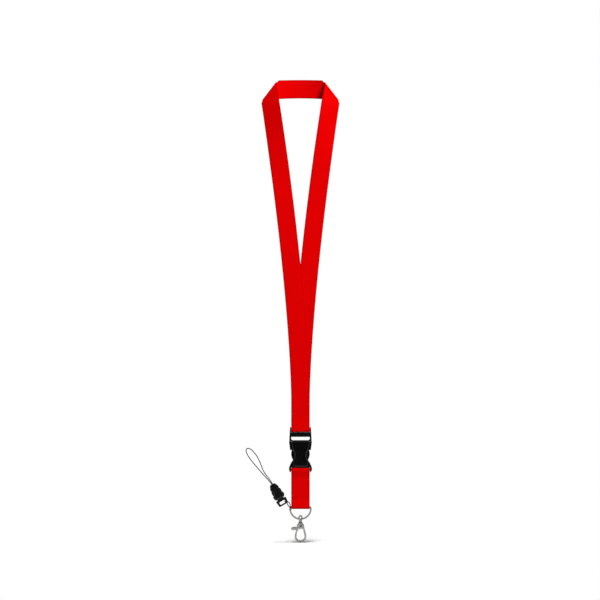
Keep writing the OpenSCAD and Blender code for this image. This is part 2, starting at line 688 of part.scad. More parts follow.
module small_socket() {
    mouth_hw = buckle_hw * small_scale - 0.5;
    window_low = small_mouth + mouth_l * small_scale;
    window_top = window_low + window_l * small_scale;
    top_hw = bore_r + 1.3;
    t = small_socket_t / 2;
    outline = mirrored([[mouth_hw - 1, small_mouth], [mouth_hw, small_mouth + 1.8], [mouth_hw, window_low - 1.2],
        [mouth_hw - 0.4, window_low], [mouth_hw - 1.1, window_top], [mouth_hw - 1.5, window_top + 1.7],
        [top_hw + 1.6, small_top - 2.2], [top_hw + 0.6, small_top - 0.5], [top_hw, small_top]]);
    profile = mirrored([[t - 0.3, small_mouth], [t, small_mouth + 0.6], [t, window_top], [bore_r + 0.5, small_top]]);
    color(black) at_tether() difference() {
        intersection() {
            front_plate(outline, 10);
            side_plate(profile, 40);
        }
        translate([0, 0, -seat_gap * small_scale + small_mouth - small_base]) at_small_latch() socket_cut();
        translate([0, 0, small_cavity_end - 1]) cylinder(r = bore_r, h = small_top);
    }
}

// Stop knot inside the small socket, which holds both ends of the phone loop
module loop_stop_knot() {
    top = small_cavity_end - 0.1;
    color(cord_black) at_tether() translate([0, 0, top - stop_h]) rotate_extrude()
        polygon([[0, 0], [stop_r - 0.4, 0], [stop_r, 0.5], [stop_r, stop_h - 0.5], [stop_r - 0.1, stop_h], [0, stop_h]]);
}

module phone_loop_cord() {
    inside = small_cavity_end - 0.1 - small_top;
    ends = [[strand_off, inside], [strand_off, -0.5]];
    route = concat([for (p = ends) [-p.x, p.y]], loop_route, [ends[1], ends[0]]);
    path = [for (p = spline(route, 2)) [p.x, 0, small_top + p.y]];
    color(cord_black) at_tether() tube(path, cord_r, [0, 1, 0]);
}

neck_strap();
neck_seam_thread();
plug_frame();
left_release_arm();
right_release_arm();
socket_body();
short_strap();
short_strap_thread();
d_ring();
swivel_eye();
hook_body();
hook_gate();
gate_pin();
gate_spring();
ring_hitch();
link_knot();
link_cord();
small_plug_frame();
small_left_arm();
small_right_arm();
small_socket();
phone_loop_cord();
loop_stop_knot();
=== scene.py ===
"""Neck lanyard: red webbing, side release buckle, D-ring, trigger hook and phone tether.

Lengths are metres. The front faces -Y and +Z is up, as in the frame that every piece is built round.
"""

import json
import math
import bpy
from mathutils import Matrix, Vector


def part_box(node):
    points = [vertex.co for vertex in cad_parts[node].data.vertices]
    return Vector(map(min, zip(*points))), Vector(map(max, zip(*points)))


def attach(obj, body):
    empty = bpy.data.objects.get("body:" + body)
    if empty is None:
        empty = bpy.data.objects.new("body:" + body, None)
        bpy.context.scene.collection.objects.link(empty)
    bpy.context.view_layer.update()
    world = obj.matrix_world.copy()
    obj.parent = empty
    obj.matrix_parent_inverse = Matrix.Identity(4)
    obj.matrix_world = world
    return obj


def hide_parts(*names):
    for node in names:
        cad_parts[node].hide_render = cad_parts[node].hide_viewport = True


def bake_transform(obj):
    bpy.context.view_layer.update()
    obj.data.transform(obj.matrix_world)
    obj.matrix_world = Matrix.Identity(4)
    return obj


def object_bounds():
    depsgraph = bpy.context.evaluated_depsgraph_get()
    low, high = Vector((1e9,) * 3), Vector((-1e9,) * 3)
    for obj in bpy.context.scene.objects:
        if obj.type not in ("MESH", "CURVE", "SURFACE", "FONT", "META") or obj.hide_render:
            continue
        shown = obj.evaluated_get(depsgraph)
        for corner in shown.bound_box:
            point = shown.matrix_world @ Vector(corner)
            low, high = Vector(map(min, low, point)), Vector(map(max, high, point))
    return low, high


bl_info = {
    "name": "Neck Lanyard",
    "version": (1, 0, 0),
    "blender": (4, 5, 0),
    "location": "View3D > Sidebar > Lanyard",
    "description": "Builds a webbing neck lanyard with its buckles, hook and phone tether",
    "category": "Add Mesh",
}

from collections import namedtuple

import bmesh
import bpy
from bpy.props import FloatProperty, FloatVectorProperty, IntProperty, PointerProperty
from bpy.types import Operator, Panel, PropertyGroup
from mathutils import Matrix, Vector

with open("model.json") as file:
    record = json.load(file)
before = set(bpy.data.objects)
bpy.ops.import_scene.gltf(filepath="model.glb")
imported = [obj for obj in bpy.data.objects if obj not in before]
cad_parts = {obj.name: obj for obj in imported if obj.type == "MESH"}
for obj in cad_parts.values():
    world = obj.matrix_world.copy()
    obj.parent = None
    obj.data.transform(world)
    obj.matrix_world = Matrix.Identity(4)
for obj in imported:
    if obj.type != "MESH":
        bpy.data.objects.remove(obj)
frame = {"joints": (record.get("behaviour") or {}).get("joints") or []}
CAD_BOX = [list(corner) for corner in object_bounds()]
PIVOTS = {j["name"]: Vector(j["pos_m"]) for j in frame["joints"] if j.get("pos_m")}
MM = 0.001
# Edges that bend more than this look sharp
HARD_ANGLE = math.radians(38)
# Steps round the edge of a plate
EDGE_STEPS = 4
# How far a row of stitches draws the webbing in
PINCH = 0.16 * MM
# How far the middle of an arm's knuckle lies below the plug's base, and inside the socket's cavity
KNUCKLE = 1.7 * MM
# Gap between the plug's base and the socket's mouth, and between the mouth's end and the arms' ledges
MOUTH_GAP = 0.3 * MM
# Gaps between the webbing and what it loops round: a bar of the buckle, and the ring
BAR_GAP, RING_GAP = 0.2 * MM, 0.5 * MM
# Room round a pin or a shank that turns
CLEARANCE = 0.05 * MM
# How far the link cord lies to the side of the small frame's middle
LINK_SIDE = 4.2 * MM


# Settings

def linear(code):
    """Linear red, green, blue and alpha of an sRGB hex value"""
    parts = [int(code[i:i + 2], 16) / 255 for i in (1, 3, 5)]
    return [c / 12.92 if c <= 0.04045 else ((c + 0.055) / 1.055) ** 2.4 for c in parts] + [1.0]


def size(name, description, mm):
    """A length that a user may change, with its default in millimetres"""
    return FloatProperty(name=name, description=description, default=mm * MM, unit="LENGTH", precision=5)


def angle(name, description, degrees):
    """An angle that a user may change, with its default in degrees"""
    return FloatProperty(name=name, description=description, default=math.radians(degrees), subtype="ANGLE")


def power(name, description, watts):
    """The power of a lamp, which a user may change"""
    return FloatProperty(name=name, description=description, default=watts, unit="POWER")


def tint(name, description, code):
    """A colour that a user may change, with its default as an sRGB hex value"""
    return FloatVectorProperty(name=name, description=description, default=linear(code),
                               size=4, min=0, max=1, subtype="COLOR")


class WebbingSettings(PropertyGroup):
    """The neck strap and the short strap"""
    width: size("Width", "Width of the webbing", 20)
    thickness: size("Thickness", "Thickness of one layer of webbing", 0.9)
    layer_gap: size("Layer gap", "Gap between sewn layers", 0.1)
    leg_spread: size("Leg spread", "Half the distance between the legs at the shoulder folds", 34.4)
    leg_drop: size("Leg drop", "Height from the shoulder folds to where the legs come together", 335)
    neck_arch: size("Neck arch", "Rise of the neck strip from its folds to its middle", 1.8)
    neck_bow: size("Neck bow", "How far the middle of the neck strip bows to the back", 4.5)
    leg_open: size("Fold opening", "How far a leg's inner edge stands forward below its fold", 4.4)
    open_length: size("Opening length", "Height over which an opened leg turns flat again", 95)
    fold_inset: size("Fold inset", "How far each fold lies inside the crossing of leg and neck strip", 1.8)
    fold_round: size("Fold rounding", "How far from its end each corner of a fold is rounded", 2.2)
    tail: size("Tail", "Length of the sewn tail behind the joined legs", 20)
    spread: size("Spread", "Height over which the layers spread round the buckle's bar", 12)
    neck_seam: size("Upper seam", "Height of the upper seam above the buckle's bar", 15.3)
    ring_seam: size("Lower seam", "Height of the lower seam above the ring's bar", 9.5)
    overlap: size("Overlap", "Length of the short strap's overlap at the back", 6)
    turn: size("Turn length", "Height over which the short strap spreads round a bar", 9)
    stitch: size("Stitch", "Length of one stitch", 1.8)
    thread: size("Thread", "Diameter of the sewing thread", 0.42)
    stitches: IntProperty(name="Stitches", description="Stitches in a row", default=7, min=3, max=15)
    rib: size("Weave rib", "Distance between the ribs of the weave", 1.2)
    red: tint("Red", "Colour of the webbing", "#E10102")
    thread_red: tint("Thread red", "Colour of the sewing thread", "#D20A0A")


class BuckleSettings(PropertyGroup):
    """The side release buckle, whose latch the small buckle repeats"""
    edge: size("Edge", "Radius of the moulded edges", 0.5)
    base: size("Base", "Height of the plug's base plate", 0.9)
    slot: size("Slot", "Height of the open slot above the base", 3.6)
    rail: size("Rail", "Width of the side rails", 1.8)
    frame_depth: size("Frame depth", "Thickness of the plug's ladder frame", 3.6)
    bar: size("Bar", "Diameter of the bars that the straps loop round", 2.6)
    knuckle: size("Knuckle", "Radius of a release arm's knuckle", 1.2)
    mouth: size("Mouth", "Length of the socket's closed mouth", 9.4)
    window: size("Window", "Length of the side windows", 11.1)
    bite: size("Bite", "Depth of a window's curved bite into the plates", 2)
    shoulder: size("Shoulder", "Length of the socket below its windows", 7.3)
    tongue: size("Tongue", "Length of the plug's guide tongue", 15)
    panel: size("Panel", "Height of the raised panel on the socket's faces", 0.45)
    ribs: IntProperty(name="Ribs", description="Ribs on the ribbed bar", default=9, min=3, max=15)
    black: tint("Black", "Colour of the moulded plastic", "#050506")


class HookSettings(PropertyGroup):
    """The D-ring and the trigger hook"""
    ring_wire: size("Ring wire", "Diameter of the D-ring's wire", 1.9)
    ring_bend: size("Ring bend", "Bend radius of the D-ring's upper corners", 2)
    eye_hole: size("Eye hole", "Radius of the hole in the swivel eye", 2.1)
    eye_wire: size("Eye wire", "Diameter of the swivel eye's wire", 1.6)
    eye_turn: angle("Eye turn", "Turn of the eye away from edge-on", 35)
    shank: size("Shank", "Diameter of the swivel's shank", 2.2)
    collar: size("Collar", "Radius of the hook's collar", 3)
    wire: size("Hook wire", "Diameter of the hook's wire", 2.2)
    lean: angle("Hook lean", "Lean of the hook's sides from upright", 13)
    side: size("Hook side", "Length of the hook's straight side", 9.8)
    depth: size("Block depth", "Thickness of the hook's block", 4.4)
    tab: size("Thumb tab", "Length of the gate's thumb tab", 5)
    pin: size("Pin", "Diameter of the gate's pin", 1.2)
    nickel: tint("Nickel", "Colour of the plated metal", "#AEADAB")


class TetherSettings(PropertyGroup):
    """The phone tether"""
    lean: angle("Lean", "Lean of the tether from upright", 30)
    cord: size("Cord", "Diameter of the link and loop cord", 1)
    link: size("Link", "Distance from the ring's corner to the small frame", 6.4)
    scale: FloatProperty(name="Latch scale", description="Size of the small latch against the large one",
                         default=0.56, min=0.1, max=1, subtype="FACTOR")
    frame_width: size("Frame width", "Width of the small frame at its outer edge", 10.6)
    frame_height: size("Frame height", "Height of the small frame", 7.4)
    frame_depth: size("Frame depth", "Thickness of the small frame", 3)
    socket_depth: size("Socket depth", "Thickness of the small socket", 4.2)
    socket_length: size("Socket length", "Length of the small socket", 17.4)
    black: tint("Cord black", "Colour of the cord", "#0B0B0D")


class StageSettings(PropertyGroup):
    """Camera, floor and light"""
    distance: size("Camera distance", "Distance of the camera from the lanyard", 2000)
    view: size("View height", "Height of the picture at the lanyard", 648.6)
    aim_x: size("Aim across", "Where the middle of the picture is, across", -0.5)
    aim_z: size("Aim height", "Where the middle of the picture is, up", -218.4)
    key: power("Key light", "Power of the light at the upper right", 40)
    top: power("Top light", "Power of the light above", 40)
    floor: tint("Floor", "Colour of the floor", "#D8D8D8")


# Shapes are points, faces and, where a weave or braid needs them, UV places in metres for each face

def smooth(t):
    """Eased step from 0 to 1"""
    t = min(max(t, 0.0), 1.0)
    return t * t * (3 - 2 * t)


def spaced(start, end, count):
    """Values from start to end in equal steps, with both ends"""
    return [start + (end - start) * k / count for k in range(count + 1)]


def spline(points, steps):
    """Smooth curve through points"""
    curve = []
    last = len(points) - 1
    for i in range(last):
        a, b, c, d = (points[min(max(k, 0), last)] for k in (i - 1, i, i + 1, i + 2))
        for k in range(steps):
            t = k / steps
            curve.append(b + 0.5 * ((c - a) * t + (2 * a - 5 * b + 4 * c - d) * t ** 2
                                    + (3 * b - a - 3 * c + d) * t ** 3))
    return curve + [points[-1]]


def headings(path, closed=False):
    """The way that a path runs at each of its points"""
    count = len(path)
    if closed:
        return [(path[(i + 1) % count] - path[i - 1]).normalized() for i in range(count)]
    return [(path[min(i + 1, count - 1)] - path[max(i - 1, 0)]).normalized() for i in range(count)]


def around(count):
    """Angles round a circle in equal steps"""
    return [2 * math.pi * k / count for k in range(count)]


def arc(centre, radius, start, end, count):
    """Points in X and Z on an arc, with angles in degrees"""
    angles = [math.radians(a) for a in spaced(start, end, count)]
    return [(centre[0] + radius * math.cos(a), centre[1] + radius * math.sin(a)) for a in angles]


def circle(centre, radius):
    """Round outline of 24 corners"""
    return arc(centre, radius, 0, 345, 23)


def oblong(left, low, right, top):
    """Outline with four square corners"""
    return [(left, low), (right, low), (right, top), (left, top)]


def flipped(outline):
    """Outline on the other side of the middle"""
    return [(-x, *rest) for x, *rest in reversed(outline)]


def mirrored(right):
    """Whole outline from its right side, given from the bottom up"""
    return right + flipped(right)


def rounded(corners):
    """Outline whose corners, given as X, Z and a radius, are rounded with arcs"""
    places = [Vector(c[:2]) for c in corners]
    outline = []
    for i, corner in enumerate(corners):
        here = places[i]
        to_last = places[i - 1] - here
        to_next = places[(i + 1) % len(places)] - here
        radius = corner[2] if len(corner) > 2 else 0
        half = to_last.angle(to_next) / 2
        if radius == 0 or half > math.radians(89):
            outline.append(here)
            continue
        reach = min(radius / math.tan(half), 0.48 * to_last.length, 0.48 * to_next.length)
        radius = reach * math.tan(half)
        centre = here + (to_last.normalized() + to_next.normalized()).normalized() * radius / math.sin(half)
        first = here + to_last.normalized() * reach - centre
        turn = first.angle_signed(here + to_next.normalized() * reach - centre)
        steps = max(2, round(abs(turn) / math.radians(18)))
        outline += [centre + Matrix.Rotation(-turn * k / steps, 2) @ first for k in range(steps + 1)]
    return outline


def inset(outline, distance):
    """Outline, given anticlockwise, drawn in by a distance; edges that would turn over close up"""
    count = len(outline)
    ways = [(outline[(i + 1) % count] - p).normalized() for i, p in enumerate(outline)]
    inward = [Vector((-way.y, way.x)) for way in ways]

    def corner(a, b):
        """Where two edges meet once both are drawn in"""
        cross = ways[a].cross(ways[b])
        if abs(cross) < 0.02:
            return outline[b] + (inward[a] + inward[b]) * distance / 2
        start = outline[a] + inward[a] * distance
        return start + ways[a] * ((outline[b] + inward[b] * distance - start).cross(ways[b]) / cross)

    kept = list(range(count))
    while True:
        corners = [corner(a, b) for a, b in zip(kept[-1:] + kept[:-1], kept)]
        runs = [(q - p).dot(ways[k]) for p, q, k in zip(corners, corners[1:] + corners[:1], kept)]
        if min(runs) >= 0:
            return [corners[next((n for n, k in enumerate(kept) if k >= i), 0)] for i in range(count)]
        kept.pop(runs.index(min(runs)))


def lofted(rings, closed=False):
    """Points and faces of a skin over rings of equal count, capped at both ends unless closed"""
    count = len(rings[0])
    points = [p for ring in rings for p in ring]
    spans = len(rings) if closed else len(rings) - 1
    faces = []
    for i in range(spans):
        a = i * count
        b = (i + 1) % len(rings) * count
        faces += [(a + k, a + (k + 1) % count, b + (k + 1) % count, b + k) for k in range(count)]
    if not closed:
        faces.append(tuple(reversed(range(count))))
        faces.append(tuple(range(len(points) - count, len(points))))
    return points, faces, None


def slab(corners, front, back, edge=0.0, at=Matrix(), draw=1.0):
    """Plate with an outline in X and Z, from front to back in Y, with rounded edges, drawn wider by a factor"""
    outline = rounded(corners)
    turns = spaced(0, math.pi / 2, EDGE_STEPS) if edge else [math.pi / 2]
    levels = [(draw * edge * (1 - math.sin(a)), front + edge * (1 - math.cos(a))) for a in turns]
    levels += [(draw * edge * (1 - math.sin(a)), back - edge * (1 - math.cos(a))) for a in reversed(turns)]
    rings = []
    for distance, y in levels:
        ring = inset(outline, distance) if edge else outline
        rings.append([at @ Vector((p.x, y, p.y)) for p in ring])
    points, faces, _ = lofted(rings)
    return points, [tuple(reversed(f)) for f in faces], None


def lathe(profile, at=Matrix(), sides=32):
    """Solid of revolution about local Z from radius and height pairs, listed from the top down"""
    rings = [[at @ Vector((radius * math.cos(a), radius * math.sin(a), height)) for a in around(sides)]
             for radius, height in profile]
    points, faces, _ = lofted(rings)
    return points, [tuple(reversed(f)) for f in faces], None


def weave_places(places, run):
    """UV places of the faces between rings: across each ring, and as far as each ring is along the piece"""
    uvs = []
    for start, end in zip(run, run[1:]):
        uvs += [[(a, start), (b, start), (b, end), (a, end)] for a, b in zip(places, places[1:])]
    return uvs


def domed(station, sign):
    """Stations of a round end of a tube, from its rim to its tip"""
    place, way, radius = station
    angles = spaced(0, math.pi / 2, 5)[1:-1]
    return [(place + way * radius * (sign * math.sin(a)), way, radius * math.cos(a)) for a in angles]


def tube(path, radius, sides=12, closed=False, round_ends=False):
    """Round tube along a path, of one radius or one for each point, with UV places round it and along it"""
    radii = radius if isinstance(radius, list) else [radius] * len(path)
    stations = list(zip(path, headings(path, closed), radii))
    if round_ends:
        stations = domed(stations[0], -1)[::-1] + stations + domed(stations[-1], 1)
    side = stations[0][1].orthogonal().normalized()
    rings, run = [], [0.0]
    for i, (place, way, r) in enumerate(stations):
        side = (side - way * side.dot(way)).normalized()
        other = way.cross(side)
        rings.append([place + (side * math.cos(a) + other * math.sin(a)) * r for a in around(sides)])
        if i:
            run.append(run[-1] + (place - stations[i - 1][0]).length)
    if closed:
        run.append(run[-1] + (stations[0][0] - stations[-1][0]).length)
    points, faces, _ = lofted(rings, closed)
    uvs = weave_places(spaced(0, 2 * math.pi * max(radii), sides), run)
    if not closed:
        uvs += [[(0, run[0])] * sides, [(0, run[-1])] * sides]
    return points, faces, uvs


def band(ribs, thickness, across=10):
    """Strip of webbing over ribs, each one edge, the other edge and the way its face looks"""
    half = thickness / 2
    turns = [math.radians(a) for a in (60, 20, -20, -60)]
    rings, run = [], [0.0]
    for i, (start, end, face) in enumerate(ribs):
        width = (end - start).length
        along = (end - start) / width
        middle = (start + end) / 2
        reach = width / 2 - half
        flat = spaced(-reach, reach, across)
        section = [(s, half) for s in flat]
        section += [(reach + half * math.cos(a), half * math.sin(a)) for a in turns]
        section += [(s, -half) for s in reversed(flat)]
        section += [(-reach - half * math.cos(a), -half * math.sin(a)) for a in turns]
        rings.append([middle + along * s + face * o for s, o in section])
        if i:
            last = ribs[i - 1]
            run.append(run[-1] + (middle - (last[0] + last[1]) / 2).length)
    points, faces, _ = lofted(rings)
    places = [s for s, o in section]
    uvs = weave_places(places + places[:1], run)
    uvs += [[(s, run[0]) for s in reversed(places)], [(s, run[-1]) for s in places]]
    return points, [tuple(reversed(face)) for face in faces], [uv[::-1] for uv in uvs]


def joined(shapes):
    """Several shapes as one"""
    points, faces, uvs = [], [], []
    for shape in shapes:
        faces += [tuple(len(points) + k for k in face) for face in shape[1]]
        points += shape[0]
        uvs += shape[2] or []
    return points, faces, uvs or None


def shade(mesh):
    """Smooths a mesh but for its hard edges"""
    mesh.shade_smooth()
    mesh.set_sharp_from_angle(angle=HARD_ANGLE)


def piece(name, shape):
    """New object of a shape; one without a weave has its double points welded"""
    points, faces, uvs = shape
    mesh = bpy.data.meshes.new(name)
    mesh.from_pydata(points, [], faces)
    if uvs:
        layer = mesh.uv_layers.new(name="weave")
        layer.data.foreach_set("uv", [x for face in uvs for place in face for x in place])
    else:
        welded = bmesh.new()
        welded.from_mesh(mesh)
        bmesh.ops.remove_doubles(welded, verts=welded.verts, dist=0.001 * MM)
        welded.to_mesh(mesh)
        welded.free()
    shade(mesh)
    obj = bpy.data.objects.new(name, mesh)
    bpy.context.scene.collection.objects.link(obj)
    return obj


def fuse(name, solids, cuts=()):
    """One closed object from solids that run into each other, less the cuts"""
    whole = piece(name, solids[0])
    others = [(piece(f"{name}_part", s), "UNION") for s in solids[1:]]
    others += [(piece(f"{name}_cut", s), "DIFFERENCE") for s in cuts]
    for other, operation in others:
        step = whole.modifiers.new(operation.lower(), "BOOLEAN")
        step.operation = operation
        step.solver = "EXACT"
        step.object = other
    graph = bpy.context.evaluated_depsgraph_get()
    mesh = bpy.data.meshes.new_from_object(whole.evaluated_get(graph))
    whole.modifiers.clear()
    old = whole.data
    whole.data = mesh
    bpy.data.meshes.remove(old)
    mesh.name = name
    for other, _ in others:
        bpy.data.meshes.remove(other.data)
    shade(mesh)
    whole.modifiers.new("even faces", "WEIGHTED_NORMAL").keep_sharp = True
    return whole


# Materials

def add_node(tree, kind, inputs=None, **settings):
    """Adds a node with its settings, and sets or links its inputs"""
    node = tree.nodes.new(f"ShaderNode{kind}")
    for name, value in settings.items():
        setattr(node, name, value)
    for socket, value in (inputs or {}).items():
        if isinstance(value, bpy.types.NodeSocket):
            tree.links.new(value, node.inputs[socket])
        else:
            node.inputs[socket].default_value = value
    return node


def material(fill, settings):
    """Material named for the function that fills its tree, made when it is first asked for"""
    name = fill.__name__
    if name not in bpy.data.materials:
        look = bpy.data.materials.new(name)
        look.use_nodes = True
        look.node_tree.nodes.clear()
        fill(look.node_tree, settings)
    return bpy.data.materials[name]


def wave_scale(pitch):
    """Scale at which a wave texture repeats every pitch"""
    return math.pi / (10 * pitch)


def finish_material(tree, colour, height, strength, distance, inputs):
    """Ends a material in one surface shader, with a relief of some strength and distance"""
    relief = add_node(tree, "Bump", {"Height": height, "Strength": strength, "Distance": distance})
    shader = add_node(tree, "BsdfPrincipled", {
        "Base Color": colour, "Normal": relief.outputs["Normal"], **inputs})
    add_node(tree, "OutputMaterial", {"Surface": shader.outputs["BSDF"]})


def shade_of(colour, factor):
    """A colour made darker or lighter"""
    return [c * factor for c in colour[:3]] + [1.0]


def woven_polyester_webbing(tree, s):
    """Woven polyester webbing, dyed red: matt, with fine ribs across it, yarns along it and painted shade that
    darkens it towards both edges.
    Real ribs are about 0.6 mm apart; they are drawn twice as coarse, so that they show."""
    place = add_node(tree, "UVMap", uv_map="weave").outputs["UV"]
    ribs = add_node(tree, "TexWave", {
        "Vector": place, "Scale": wave_scale(s.rib), "Distortion": 0.6, "Detail": 1.0}, bands_direction="Y")
    yarns = add_node(tree, "TexWave", {
        "Vector": place, "Scale": wave_scale(0.7 * MM), "Distortion": 0.4}, bands_direction="X")
    dye = add_node(tree, "TexNoise", {"Vector": place, "Scale": 1 / (14 * MM), "Detail": 3.0})
    height = add_node(tree, "Math", {0: ribs.outputs["Fac"], 1: yarns.outputs["Fac"]}, operation="MULTIPLY")
    weave = add_node(tree, "Mix", {
        "Factor": height.outputs[0], "A": shade_of(s.red, 0.93), "B": shade_of(s.red, 1.05)}, data_type="RGBA")
    even = add_node(tree, "MapRange", {
        "Value": dye.outputs["Fac"], "From Min": 0.3, "From Max": 0.7, "To Min": 0.97, "To Max": 1.03})
    across = add_node(tree, "SeparateXYZ", {"Vector": place})
    aside = add_node(tree, "Math", {0: across.outputs["X"]}, operation="ABSOLUTE")
    # Painted shade: the colour darkens towards both edges of the webbing
    edge_shade = add_node(tree, "MapRange", {
        "Value": aside.outputs[0], "From Min": s.width / 2 - 1.3 * MM, "From Max": s.width / 2 - 0.3 * MM,
        "To Min": 1.0, "To Max": 0.62})
    dark = add_node(tree, "Math", {
        0: even.outputs["Result"], 1: edge_shade.outputs["Result"]}, operation="MULTIPLY")
    tone = add_node(tree, "HueSaturation", {"Color": weave.outputs["Result"], "Value": dark.outputs[0]})
    finish_material(tree, tone.outputs["Color"], height.outputs[0], 0.35, 0.1 * MM, {
        "Roughness": 0.9, "Specular IOR Level": 0.0, "Sheen Weight": 0.12, "Sheen Roughness": 0.5,
        "Sheen Tint": s.red})


def twisted_polyester_thread(tree, s):
    """Twisted polyester sewing thread: a little shinier than the webbing, with a slanted twist"""
    place = add_node(tree, "UVMap", uv_map="weave").outputs["UV"]
    twist = add_node(tree, "TexWave", {
        "Vector": place, "Scale": wave_scale(0.4 * MM), "Distortion": 0.2}, bands_direction="DIAGONAL")
    tone = add_node(tree, "Mix", {
        "Factor": twist.outputs["Fac"], "A": shade_of(s.thread_red, 0.75), "B": s.thread_red}, data_type="RGBA")
    finish_material(tree, tone.outputs["Result"], twist.outputs["Fac"], 0.5, 0.05 * MM, {
        "Roughness": 0.7, "Specular IOR Level": 0.05})


def moulded_acetal(tree, s):
    """Injection moulded acetal: black, waxy half gloss, with the fine grit of the mould and a painted
    highlight that makes its convex edges a little lighter"""
    place = add_node(tree, "TexCoord").outputs["Object"]
    grit = add_node(tree, "TexNoise", {"Vector": place, "Scale": 1 / (0.35 * MM), "Detail": 2.0})
    cloud = add_node(tree, "TexNoise", {"Vector": place, "Scale": 1 / (6 * MM), "Detail": 2.0})
    # Painted highlight: convex edges are lighter, by how sharply the surface bends there
    edges = add_node(tree, "NewGeometry")
    edge_highlight = add_node(tree, "MapRange", {
        "Value": edges.outputs["Pointiness"], "From Min": 0.52, "From Max": 0.62, "To Min": 0.0, "To Max": 1.0})
    tone = add_node(tree, "Mix", {
        "Factor": edge_highlight.outputs["Result"], "A": s.black, "B": linear("#101012")}, data_type="RGBA")
    gloss = add_node(tree, "MapRange", {
        "Value": cloud.outputs["Fac"], "From Min": 0.3, "From Max": 0.7, "To Min": 0.2, "To Max": 0.26})
    finish_material(tree, tone.outputs["Result"], grit.outputs["Fac"], 0.12, 0.03 * MM, {
        "Roughness": gloss.outputs["Result"], "IOR": 1.48})


def bright_nickel_plate(tree, s):
    """Bright nickel plate on zinc and steel: a grey mirror, softened by polishing and handling"""
    place = add_node(tree, "TexCoord").outputs["Object"]
    rub = add_node(tree, "TexNoise", {"Vector": place, "Scale": 1 / (1.5 * MM), "Detail": 4.0})
    cast = add_node(tree, "TexNoise", {"Vector": place, "Scale": 1 / (3 * MM), "Detail": 1.0})
    gloss = add_node(tree, "MapRange", {
        "Value": rub.outputs["Fac"], "From Min": 0.3, "From Max": 0.7, "To Min": 0.14, "To Max": 0.28})
    tone = add_node(tree, "Mix", {
        "Factor": rub.outputs["Fac"], "A": shade_of(s.nickel, 0.86), "B": shade_of(s.nickel, 1.08)},
        data_type="RGBA")
    finish_material(tree, tone.outputs["Result"], cast.outputs["Fac"], 0.25, 0.12 * MM, {
        "Metallic": 1.0, "Roughness": gloss.outputs["Result"]})


def braided_polyester_cord(tree, s):
    """Braided polyester cord, black: two sets of strands that cross, with painted light on their crowns and
    painted shade between them.
    The strands are drawn about twice as coarse as real ones, so that they show."""
    place = add_node(tree, "UVMap", uv_map="weave").outputs["UV"]
    strands = []
    for turn in (1, -1):
        slant = add_node(tree, "Mapping", {
            "Vector": place, "Rotation": (0.0, 0.0, turn * math.radians(35))})
        strands.append(add_node(tree, "TexWave", {
            "Vector": slant.outputs["Vector"], "Scale": wave_scale(0.55 * MM)}, bands_direction="Y"))
    height = add_node(tree, "Math", {
        0: strands[0].outputs["Fac"], 1: strands[1].outputs["Fac"]}, operation="MAXIMUM")
    # Painted light and shade: the strands' crowns are lighter and the hollows between them darker
    tone = add_node(tree, "Mix", {
        "Factor": height.outputs[0], "A": shade_of(s.black, 0.4), "B": shade_of(s.black, 1.6)},
        data_type="RGBA")
    finish_material(tree, tone.outputs["Result"], height.outputs[0], 0.6, 0.08 * MM, {
        "Roughness": 0.7, "Specular IOR Level": 0.1})


def shown_rays(tree):
    """One for the rays that see the background: the camera's, and those in gloss and glass"""
    path = add_node(tree, "LightPath")
    seen = add_node(tree, "Math", {
        0: path.outputs["Is Camera Ray"], 1: path.outputs["Is Glossy Ray"]}, operation="MAXIMUM")
    return add_node(tree, "Math", {
        0: seen.outputs[0], 1: path.outputs["Is Transmission Ray"]}, operation="MAXIMUM").outputs[0]


# Where the shadow on the floor starts to fade, and where it ends, from the point below the neck's middle
SHADOW_CORE, SHADOW_END = 12 * MM, 45 * MM


def matt_white_paper(tree, s):
    """Matt white paper: it shows white to the camera and in gloss, and keeps the object's shadow"""
    place = add_node(tree, "TexCoord").outputs["Object"]
    grain = add_node(tree, "TexNoise", {"Vector": place, "Scale": 1 / (2.5 * MM)})
    bump = add_node(tree, "Bump", {"Height": grain.outputs["Fac"], "Strength": 0.02})
    shown = shown_rays(tree)
    tone = add_node(tree, "Mix", {
        "Factor": shown, "A": shade_of(s.floor, 0.3), "B": s.floor}, data_type="RGBA")
    paper = add_node(tree, "BsdfDiffuse", {
        "Color": tone.outputs["Result"], "Normal": bump.outputs["Normal"]})
    flat = add_node(tree, "VectorMath", {0: place, 1: (1.0, 1.0, 0.0)}, operation="MULTIPLY")
    away = add_node(tree, "VectorMath", {0: flat.outputs["Vector"]}, operation="LENGTH")
    far = add_node(tree, "MapRange", {
        "Value": away.outputs["Value"], "From Min": SHADOW_CORE, "From Max": SHADOW_END},
        interpolation_type="SMOOTHSTEP")
    lift = add_node(tree, "Math", {0: far.outputs["Result"], 1: shown}, operation="MULTIPLY")
    glow = add_node(tree, "Emission", {"Strength": 1.0})
    both = add_node(tree, "MixShader", {0: lift.outputs[0], 1: paper.outputs[0], 2: glow.outputs[0]})
    add_node(tree, "OutputMaterial", {"Surface": both.outputs[0]})


# Material of each slot, and the settings that it reads
SLOTS = {
    "red_webbing": (woven_polyester_webbing, "lanyard_webbing"),
    "red_thread": (twisted_polyester_thread, "lanyard_webbing"),
    "black_acetal": (moulded_acetal, "lanyard_buckle"),
    "nickel_plate": (bright_nickel_plate, "lanyard_hook"),
    "black_cord": (braided_polyester_cord, "lanyard_tether")}


def settle(obj, body, slot, *nodes):
    """Gives a piece the material of its slot and a body, if one is named, and hides the solids that it stands
    for
    """
    fill, settings = SLOTS[slot]
    obj.data.materials.clear()
    obj.data.materials.append(material(fill, getattr(bpy.context.scene, settings)))
    if body:
        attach(obj, body)
    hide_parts(*nodes)
    return obj


# Stage

